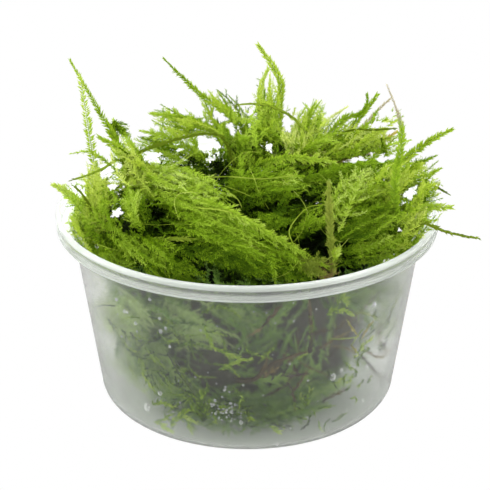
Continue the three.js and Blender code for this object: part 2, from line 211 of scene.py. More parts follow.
# The tub, turned about its axis. Millimetres, from the same measures as the solid one. The rounds run up
# the outside of the rim and down the inside.
tub = {
    "height": 52.9,
    "rimRadius": 50.5,
    "rimHeight": 4.4,
    "wallTopRadius": 46.4,
    "footRadius": 40.1,
    "cornerRadius": 4.3,
    "wall": 0.8,
    "bead": 0.35,
    "sides": 160,
    "rounds": {"seat": 0.7, "lowBead": 0.55, "lip": 0.75, "innerLip": 0.45, "innerCorner": 0.4,
               "innerSeat": 0.5},
}

# Tub plastic: polypropylene, injection moulded, clear but milky, so what touches the wall shows sharp
# and what hangs behind it blurs.
tubFinish = {
    "tint": "#fbfcfb",
    "roughness": 0.2,
    "gloss": 0.3,
    "ior": 1.49,
    "lampTint": "#f4f6f2",
    "footHaze": 0.14,
    "wallHaze": 0.008,
    "bandHaze": 0.1,
    "edgeHaze": 0.5,
    "hazeColour": "#eef2ee",
    "hazeHeights": [(0, "footHaze"), (4.5, "footHaze"), (11, "wallHaze"), (48.3, "wallHaze"),
                    (48.6, "edgeHaze"), (49.0, "edgeHaze"), (49.4, "bandHaze"), (51.2, "bandHaze"),
                    (51.7, "edgeHaze"), (52.9, "edgeHaze")],
    "rippleSize": 9.0,
    "rippleDepth": 1.0,
    "rippleStrength": 0.06,
}


def plasticMaterial():
    material, tree = newMaterial("milkyPolypropylene")
    place = addNode(tree, "ShaderNodeNewGeometry")
    height = addNode(tree, "ShaderNodeSeparateXYZ", {}, {0: place.outputs["Position"]})
    # the lip and the bead under the band are thick, so they look whitest
    share = addNode(tree, "ShaderNodeMath", {"operation": "DIVIDE", 1: tub["height"] * millimetre},
                    {0: height.outputs["Z"]})
    haze = addNode(tree, "ShaderNodeValToRGB",
                   {"stops": [(mark / tub["height"], (tubFinish[level],) * 3 + (1,))
                              for mark, level in tubFinish["hazeHeights"]]},
                   {"Fac": share.outputs[0]})
    ripple = addNode(tree, "ShaderNodeTexNoise",
                     {"Scale": 1 / (tubFinish["rippleSize"] * millimetre), "Detail": 1.0},
                     {"Vector": place.outputs["Position"]})
    bump = addNode(tree, "ShaderNodeBump",
                   {"Strength": tubFinish["rippleStrength"],
                    "Distance": tubFinish["rippleDepth"] * millimetre},
                   {"Height": ripple.outputs[0]})
    clear = addNode(tree, "ShaderNodeBsdfPrincipled",
                    {"Base Color": colour(tubFinish["tint"]), "Roughness": tubFinish["roughness"],
                     "IOR": tubFinish["ior"], "Specular IOR Level": tubFinish["gloss"],
                     "Transmission Weight": 1.0},
                    {"Normal": bump.outputs[0]})
    milk = addNode(tree, "ShaderNodeBsdfDiffuse", {"Color": colour(tubFinish["hazeColour"])})
    glow = addNode(tree, "ShaderNodeBsdfTranslucent", {"Color": colour(tubFinish["hazeColour"])})
    cloud = addNode(tree, "ShaderNodeMixShader", {0: 0.5}, {1: milk.outputs[0], 2: glow.outputs[0]})
    mix = addNode(tree, "ShaderNodeMixShader", {},
                  {0: haze.outputs[0], 1: clear.outputs[0], 2: cloud.outputs[0]})
    # lamps light what is in the tub
    path = addNode(tree, "ShaderNodeLightPath")
    letThrough = addNode(tree, "ShaderNodeBsdfTransparent", {"Color": colour(tubFinish["lampTint"])})
    lit = addNode(tree, "ShaderNodeMixShader", {},
                  {0: path.outputs["Is Shadow Ray"], 1: mix.outputs[0], 2: letThrough.outputs[0]})
    addNode(tree, "ShaderNodeOutputMaterial", {}, {"Surface": lit.outputs[0]})
    return material


# Water in drops: clear, smooth, with the IOR of water; the bright rim of each drop is a painted highlight,
# white matt colour mixed in as the surface turns away
waterFinish = {"tint": "#ffffff", "roughness": 0.02, "ior": 1.33, "paintedRimTint": "#ffffff", "paintedRimBlend": 0.45}


def waterMaterial():
    material, tree = newMaterial("waterDrop")
    clear = addNode(tree, "ShaderNodeBsdfPrincipled",
                    {"Base Color": colour(waterFinish["tint"]), "Roughness": waterFinish["roughness"],
                     "IOR": waterFinish["ior"], "Transmission Weight": 1.0})
    # painted highlight: white matt colour for the rim of each drop
    rim = addNode(tree, "ShaderNodeBsdfDiffuse", {"Color": colour(waterFinish["paintedRimTint"])})
    facing = addNode(tree, "ShaderNodeLayerWeight", {"Blend": waterFinish["paintedRimBlend"]})
    mix = addNode(tree, "ShaderNodeMixShader", {},
                  {0: facing.outputs["Facing"], 1: clear.outputs[0], 2: rim.outputs[0]})
    addNode(tree, "ShaderNodeOutputMaterial", {}, {"Surface": mix.outputs[0]})
    return material


plastic = plasticMaterial()
water = waterMaterial()
print("tub materials ready")


# Meshes from arrays of corners in millimetres
def makePiece(name, corners, faces, material, tones=None, smooth=False):
    mesh = bpy.data.meshes.new(name)
    corners = np.asarray(corners, dtype=np.float64) * millimetre
    faces = np.asarray(faces, dtype=np.int32)
    size = faces.shape[1]
    mesh.vertices.add(len(corners))
    mesh.vertices.foreach_set("co", corners.ravel())
    mesh.loops.add(faces.size)
    mesh.loops.foreach_set("vertex_index", faces.ravel())
    mesh.polygons.add(len(faces))
    mesh.polygons.foreach_set("loop_start", np.arange(len(faces), dtype=np.int32) * size)
    mesh.update(calc_edges=True)
    mesh.validate()
    mesh.polygons.foreach_set("use_smooth", np.full(len(mesh.polygons), smooth))
    if tones is not None:
        attribute = mesh.attributes.new("tone", "FLOAT", "POINT")
        attribute.data.foreach_set("value", np.asarray(tones, dtype=np.float32))
    mesh.materials.append(material)
    piece = bpy.data.objects.new(name, mesh)
    bpy.context.collection.objects.link(piece)
    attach(piece, "root")
    return piece


shoulder = tub["height"] - tub["rimHeight"]


def wallRadius(height):
    slope = (tub["wallTopRadius"] - tub["footRadius"]) / (shoulder - tub["cornerRadius"])
    return tub["footRadius"] + slope * (height - tub["cornerRadius"])


def arc(centre, radius, start, end, steps):
    angles = np.radians(np.linspace(start, end, steps + 1))
    return [(centre[0] + radius * math.cos(a), centre[1] + radius * math.sin(a)) for a in angles]


def turned(profile, sides):
    profile = np.array(profile)
    angles = np.arange(sides) * 2 * math.pi / sides
    rings = np.stack([profile[:, None, 0] * np.cos(angles), profile[:, None, 0] * np.sin(angles),
                      np.repeat(profile[:, 1:], sides, axis=1)], axis=-1)
    count = len(profile)
    corners = rings.reshape(-1, 3)
    row = np.arange(count)[:, None] * sides
    nextRow = (np.arange(count) + 1)[:, None] % count * sides
    here = np.arange(sides)[None, :]
    there = (here + 1) % sides
    faces = np.stack([row + here, row + there, nextRow + there, nextRow + here], axis=-1)
    return corners, faces.reshape(-1, 4)


def makeTub():
    foot, corner, wall, top = tub["footRadius"], tub["cornerRadius"], tub["wall"], tub["height"]
    seat, lowBead, lip, innerLip, innerCorner, innerSeat = tub["rounds"].values()
    band = tub["rimRadius"] - tub["bead"]
    inner = band - wall
    centre = (foot - corner, corner)
    profile = [(0.02, 0), (foot * 0.5, 0), (foot - corner - 1, 0)]
    profile += arc(centre, corner, -90, 0, 12)
    profile += [(wallRadius(h), h) for h in np.linspace(8, shoulder - 1.2, 8)]
    profile += arc((wallRadius(shoulder - seat) + seat, shoulder - seat), seat, 180, 90, 5)
    profile += arc((band - 0.2, shoulder + lowBead), lowBead, -90, 80, 8)
    profile += [(band, shoulder + 1.5), (band, top - 1.75)]
    profile += arc((band - 0.25, top - lip), lip, -50, 90, 9)
    profile += arc((inner + 0.35, top - innerLip), innerLip, 90, 180, 5)
    profile += [(inner, top - 2.0), (inner, shoulder + wall + 0.5)]
    profile += arc((inner - innerCorner, shoulder + wall + innerCorner), innerCorner, 0, -90, 3)
    innerRadius = wallRadius(shoulder) - wall
    profile += arc((innerRadius + innerSeat, shoulder + wall - innerSeat), innerSeat, 90, 180, 4)
    profile += [(wallRadius(h) - wall, h) for h in np.linspace(shoulder - 1, 8, 8)]
    profile += arc(centre, corner - wall, 0, -90, 10)
    profile += [(foot * 0.5, wall), (0.02, wall)]
    corners, faces = turned(profile, tub["sides"])
    piece = makePiece("tub_plastic", corners, faces, plastic, smooth=True)
    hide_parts("tub")


makeTub()
print("tub made")

# The tangle's outer form, as the solid heap has it, for laying fronds on: radius and height at the
# photographed side and at the back, the lean on the front wall low down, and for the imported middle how
# far it shrinks, its top, and the rows of the outline between which it sinks
heap = {
    "front": [(0, 1.5), (25, 3.8), (32.5, 9.5), (36.8, 17.5), (40.2, 28), (42.6, 38), (43.9, 46),
              (44.4, 49.6), (46.4, 51.6), (47.6, 54.5), (46, 59), (40.5, 63.5), (31, 68), (18, 71.5),
              (0, 73.5)],
    "back": [(0, 1.5), (24, 4.2), (31.5, 10.5), (36, 17.5), (39, 24), (40.6, 29.5), (41.3, 33.5),
             (41.7, 36.5), (41.9, 39), (41.4, 41.5), (40, 43.8), (36.5, 47), (30, 52.5), (18, 62),
             (0, 73.5)],
    "turnsFrom": -0.35,
    "turnsTo": 0.7,
    "lump": 2.4,
    "lean": 8.0,
    "leanTop": 40.0,
    "opensOver": 7.0,
    "shrinksFrom": 5,
    "shrinksTo": 11,
    "middle": (0, -3, 36),
    "sides": 72,
    "rows": 60,
    "coreShrink": 7.0,
    "coreTop": 47.0,
}


def smoothStep(value, low, high):
    t = np.clip((value - low) / (high - low), 0, 1)
    return t * t * (3 - 2 * t)


def lump(x, y, z):
    # bumps of the tangle, from -1 to 1, as the solid heap has them
    broad = np.sin(x * 0.21 + 1.3) * np.cos(y * 0.24 - 0.6) + np.sin(z * 0.27 + x * 0.11)
    small = np.sin(x * 0.52 - y * 0.37) * np.cos(y * 0.49 + z * 0.41)
    return np.clip(broad * 0.35 + small * 0.5, -1, 1)


def insideTub(points, clear=0.3):
    # keeps moss clear of the plastic: the wall, the rim and the floor of the tub
    points = np.array(points)
    corner = tub["cornerRadius"]
    height = np.clip(points[:, 2], tub["wall"] + clear, None)
    points[:, 2] = height
    rounding = corner * (1 - np.sqrt(np.clip(1 - (1 - np.clip(height, 0, corner) / corner) ** 2, 0, 1)))
    inWall = wallRadius(np.clip(height, corner, shoulder)) - tub["wall"] - clear - rounding
    inRim = tub["rimRadius"] - tub["bead"] - tub["wall"] - 0.2 - clear
    limit = np.where(height > shoulder + tub["wall"] + clear, inRim, inWall)
    limit = np.where(height > tub["height"] + clear, 1e9, limit)
    radius = np.hypot(points[:, 0], points[:, 1])
    points[:, :2] *= np.minimum(1, limit / np.maximum(radius, 1e-6))[:, None]
    return points


def heapOutline(aside, t):
    # radius and height at place t of the outline, where y over radius is aside
    share = smoothStep(aside, heap["turnsFrom"], heap["turnsTo"])
    order = np.arange(len(heap["front"]))
    front, back = np.array(heap["front"], float), np.array(heap["back"], float)
    return [np.interp(t, order, front[:, k]) * (1 - share) + np.interp(t, order, back[:, k]) * share
            for k in (0, 1)]


def heapForm(shrink=0.0, topLimit=None):
    sides, rows = heap["sides"], heap["rows"]
    faces = turned(np.zeros((rows, 2)), sides)[1][:-sides]
    angles = np.tile(np.arange(sides) * 2 * math.pi / sides, rows)
    t = np.repeat(np.linspace(0, len(heap["front"]) - 1, rows), sides)
    radius, z = heapOutline(np.sin(angles), t)
    height = lump(radius * np.cos(angles), radius * np.sin(angles), z) * heap["lump"]
    opened = smoothStep(z, tub["height"], tub["height"] + heap["opensOver"])
    reach = np.where(radius < 1, radius, radius + height * (1 - opened * 0.5) - shrink)
    reach = np.maximum(reach, radius * 0.02)
    lean = heap["lean"] * (1 - np.clip(z / heap["leanTop"], 0, 1))
    z = z + opened * height - shrink * smoothStep(t, heap["shrinksFrom"], heap["shrinksTo"])
    if topLimit is not None:
        z = np.minimum(z, topLimit)
    corners = np.stack([reach * np.cos(angles), reach * np.sin(angles) - lean, z], -1)
    return insideTub(corners, 0.4 + shrink), faces


domeCorners, domeFaces = heapForm()
dome = BVHTree.FromPolygons([Vector(c) for c in domeCorners], [tuple(int(i) for i in f) for f in domeFaces])


def faceOut(place, normal):
    # the heap's middle lies inside, so a normal that points at it is turned round
    normal = np.array(normal)
    return normal if normal @ (np.array(place) - heap["middle"]) > 0 else -normal


def onSurface(place):
    hit, normal = dome.find_nearest(Vector(place))[:2]
    return np.array(hit), faceOut(hit, normal)


towardsFront = np.array([0.0, -0.91, 0.41])


almostUp = np.array([0.02, 0.03, 1.0])


def headingOn(normal, turn):
    # direction along a surface, turned by an angle from level
    level = unit(np.cross(normal, almostUp))
    return level * math.cos(turn) + np.cross(normal, level) * math.sin(turn)


def onHeap(pixel, fallbackDepth):
    line = sightLine(pixel)
    hit, normal = dome.ray_cast(Vector(eye), Vector(line))[:2]
    if hit is None:
        return atDepth(pixel, fallbackDepth), towardsFront, False
    normal = np.array(normal)
    if normal @ line > 0:
        normal = -normal
    return np.array(hit), normal, True


# Growing moss: stems with two ranks of small leaves, gathered in bags of corners and triangles
def newBag():
    return {"corners": [], "faces": [], "tones": [], "count": 0, "triangles": 0}


def fillBag(bag, corners, faces, tones):
    bag["corners"].append(corners)
    bag["faces"].append(faces + bag["count"])
    bag["tones"].append(tones)
    bag["count"] += len(corners)
    bag["triangles"] += len(faces)


def smoothRun(points, step):
    points = np.asarray(points, dtype=float)
    if len(points) == 2:
        points = np.stack([points[0], points.mean(axis=0), points[1]])
    before = 2 * points[0] - points[1]
    after = 2 * points[-1] - points[-2]
    padded = np.vstack([before, points, after])
    t = np.linspace(0, 1, 8, endpoint=False)[:, None]
    pieces = []
    for i in range(len(points) - 1):
        a, b, c, d = padded[i:i + 4]
        pieces.append(0.5 * ((2 * b) + (c - a) * t + (2 * a - 5 * b + 4 * c - d) * t ** 2
                             + (3 * b - a - 3 * c + d) * t ** 3))
    dense = np.vstack(pieces + [points[-1:]])
    along = np.concatenate([[0], np.cumsum(np.linalg.norm(np.diff(dense, axis=0), axis=1))])
    count = max(3, int(round(along[-1] / step)) + 1)
    stations = np.linspace(0, along[-1], count)
    return np.stack([np.interp(stations, along, dense[:, k]) for k in range(3)], -1), along[-1]


def runFrames(run, facing):
    tangent = unit(np.gradient(run, axis=0))
    side = unit(np.cross(tangent, facing) + 1e-6)
    return tangent, side, np.cross(side, tangent)


def addStem(bag, run, side, face, radii, tones):
    # three-sided, closed at the root and drawn to a point at the tip
    count = len(run)
    angles = np.arange(3) * 2 * math.pi / 3
    ring = (side[:-1, None] * np.cos(angles)[None, :, None]
            + face[:-1, None] * np.sin(angles)[None, :, None]) * radii[:-1, None, None]
    corners = np.vstack([(run[:-1, None] + ring).reshape(-1, 3), run[-1:]])
    i = np.arange(count - 2)[:, None] * 3
    k = np.arange(3)[None, :]
    m = (k + 1) % 3
    lower = np.stack([i + k, i + m, i + 3 + k], -1).reshape(-1, 3)
    upper = np.stack([i + m, i + 3 + m, i + 3 + k], -1).reshape(-1, 3)
    last = (count - 2) * 3
    tip = np.stack([last + k[0], last + m[0], np.full(3, last + 3)], -1)
    faces = np.vstack([lower, upper, tip, [[2, 1, 0]]])
    stemTones = np.concatenate([np.repeat(tones[:-1], 3), tones[-1:]])
    fillBag(bag, corners, faces, stemTones)


# Blades of the leaves: lengths and widths as shares of the blade, angles in radians, shades in tone
blade = {
    "closesAtTip": 0.55,
    "spreadScatter": 0.17,
    "lengthScatter": (0.78, 1.18),
    "widthScatter": (0.85, 1.15),
    "tilt": 0.3,
    "forwardBend": 0.12,
    "widestAt": 0.4,
    "fold": 0.22,
    "rootShade": -0.04,
    "tipShade": 0.04,
    "plainHalf": 0.45,
    "plainTipShade": 0.08,
}


def addLeaves(bag, run, length, frames, widths, leaf, tones, rng):
    gap = leaf["gap"]
    count = max(4, int(length / gap))
    s = np.clip((np.arange(count) + 0.5 + rng.uniform(-0.35, 0.35, count)) / count, 0, 0.995)
    grid = np.linspace(0, 1, len(run))

    def at(values):
        return np.stack([np.interp(s, grid, values[:, k]) for k in range(3)], -1)

    base, tangent, side, face = at(run), unit(at(frames[0])), unit(at(frames[1])), unit(at(frames[2]))
    width = np.interp(s, np.linspace(0, 1, len(widths)), widths)
    spread = np.radians(leaf["spread"]) * (1 - blade["closesAtTip"] * s ** 4)
    spread += rng.normal(0, blade["spreadScatter"], count)
    bladeLength = width / 2 / np.sin(math.radians(leaf["spread"]))
    bladeLength = bladeLength * rng.uniform(*blade["lengthScatter"], count)
    rank = np.where(np.arange(count) % 2 == 0, 0.0, math.pi) + rng.normal(0, leaf["scatter"], count)
    outwards = side * np.cos(rank)[:, None] + face * np.sin(rank)[:, None]
    direction = unit(tangent * np.cos(spread)[:, None] + outwards * np.sin(spread)[:, None])
    tilted = face + rng.normal(0, blade["tilt"], (count, 3))
    bladeNormal = unit(np.cross(direction, np.cross(tilted, direction)))
    across = np.cross(bladeNormal, direction)
    bladeWidth = bladeLength * leaf["slim"] * rng.uniform(*blade["widthScatter"], count)
    tip = base + direction * bladeLength[:, None] + tangent * (bladeLength * blade["forwardBend"])[:, None]
    toneSpread = leaf.get("toneSpread", leafFinish["toneSpread"])
    tone = np.interp(s, np.linspace(0, 1, len(tones)), tones) + rng.normal(0, toneSpread, count)
    if leaf.get("single"):
        # deep in the tangle a leaf is a plain pointed blade
        half = across * (bladeWidth * blade["plainHalf"])[:, None]
        corners = np.stack([base + half, base - half, tip], 1).reshape(-1, 3)
        faces = np.arange(count * 3).reshape(-1, 3)
        shades = [blade["rootShade"], blade["rootShade"], blade["plainTipShade"]]
    else:
        middle = base + direction * (bladeLength * blade["widestAt"])[:, None]
        lift = bladeNormal * (bladeWidth * blade["fold"])[:, None]
        left = middle + across * (bladeWidth / 2)[:, None] + lift
        right = middle - across * (bladeWidth / 2)[:, None] + lift
        corners = np.stack([base, left, right, tip], 1).reshape(-1, 3)
        first = np.arange(count)[:, None] * 4
        faces = np.concatenate([first + [0, 2, 3], first + [0, 3, 1]], 1).reshape(-1, 3)
        shades = [blade["rootShade"], 0.0, 0.0, blade["tipShade"]]
    fillBag(bag, corners, faces, (tone[:, None] + np.array(shades)).ravel())


# How leaves stand on a stem: gap between them in millimetres, spread off the stem in degrees, scatter round
# it in radians, and how slim a blade is
leafKinds = {
    "plain": {"gap": 0.12, "spread": 50, "scatter": 0.5, "slim": 0.3},
    "spiky": {"gap": 0.22, "spread": 72, "scatter": 0.35, "slim": 0.3},
    "fine": {"gap": 0.19, "spread": 58, "scatter": 0.6, "slim": 0.27},
    "deep": {"gap": 0.22, "spread": 56, "scatter": 0.7, "slim": 0.42, "single": True},
    "behind": {"gap": 0.2, "spread": 58, "scatter": 0.6, "slim": 0.32, "single": True},
    "pressed": {"gap": 0.3, "spread": 24, "scatter": 1.2, "slim": 0.34},
    "scrap": {"gap": 0.26, "spread": 42, "scatter": 0.8, "slim": 0.4, "toneSpread": 0.16},
}


# A stem and its side branches. Steps in millimetres, angle in degrees, the rest in shares and tone.
shootForm = {
    "step": 1.6,
    "taper": 0.65,
    "stemShade": -0.04,
    "branchesUntil": 0.88,
    "angleScatter": 9,
    "shorterAtTip": 0.62,
    "reachScatter": (0.55, 1.2),
    "forwardTurn": 0.35,
    "twigStep": 1.2,
    "plainTwigStep": 2.0,
    "twigStem": 0.6,
    "twigWidths": (0.8, 1, 0.75),
    "changesSide": 0.85,
}


def growShoot(bag, points, widths, kind, tones, facing, rng, stemRadius, branches=None,
              taper=shootForm["taper"]):
    run, length = smoothRun(points, shootForm["step"])
    frames = runFrames(run, facing)
    leaf = leafKinds[kind]
    radii = stemRadius * (1 - taper * np.linspace(0, 1, len(run)))
    stemTones = np.interp(np.linspace(0, 1, len(run)), np.linspace(0, 1, len(tones)), tones)
    addStem(bag, run, frames[1], frames[2], radii, stemTones + shootForm["stemShade"])
    addLeaves(bag, run, length, frames, widths, leaf, tones, rng)
    if branches is None:
        return
    place = rng.uniform(0.5, 1.5) * branches["gap"]
    left = rng.random() < 0.5
    while place < length * shootForm["branchesUntil"]:
        share = place / length
        i = share * (len(run) - 1)
        k = int(i)
        base = run[k] + (run[min(k + 1, len(run) - 1)] - run[k]) * (i - k)
        tangent, side, face = frames[0][k], frames[1][k], frames[2][k]
        angle = math.radians(rng.normal(branches["angle"], shootForm["angleScatter"]))
        sign = 1 if left else -1
        sideways = side * sign * math.cos(rng.normal(0, 0.3)) + face * rng.normal(0.05, 0.3)
        reach = branches["length"] * (1 - shootForm["shorterAtTip"] * share)
        reach = reach * rng.uniform(*shootForm["reachScatter"])
        heading = unit(tangent * math.cos(angle) + sideways * math.sin(angle))
        turn = unit(heading + tangent * shootForm["forwardTurn"])
        path = [base, base + heading * reach * 0.5, base + heading * reach * 0.5 + turn * reach * 0.5]
        step = max(shootForm["twigStep"], reach / 4)
        if leaf.get("single"):
            step = max(shootForm["plainTwigStep"], reach / 2)
        twig, twigLength = smoothRun(path, step)
        twigFrames = runFrames(twig, face + rng.normal(0, 0.15, 3))
        level = np.interp(share, np.linspace(0, 1, len(tones)), tones)
        twigTones = [level - 0.04, level + 0.03, level + 0.08]
        addStem(bag, twig, twigFrames[1], twigFrames[2],
                stemRadius * shootForm["twigStem"] * np.linspace(1, 0.5, len(twig)),
                np.linspace(level - 0.15, level, len(twig)))
        addLeaves(bag, twig, twigLength, twigFrames, np.array(shootForm["twigWidths"]) * branches["width"],
                  leaf, twigTones, rng)
        place += branches["gap"] * rng.uniform(0.6, 1.4)
        if rng.random() < shootForm["changesSide"]:
            left = not left


def bagPiece(name, bag, material):
    piece = makePiece(name, np.vstack(bag["corners"]), np.vstack(bag["faces"]), material,
                      np.concatenate(bag["tones"]))
    print(name, bag["triangles"], "triangles")
    return piece


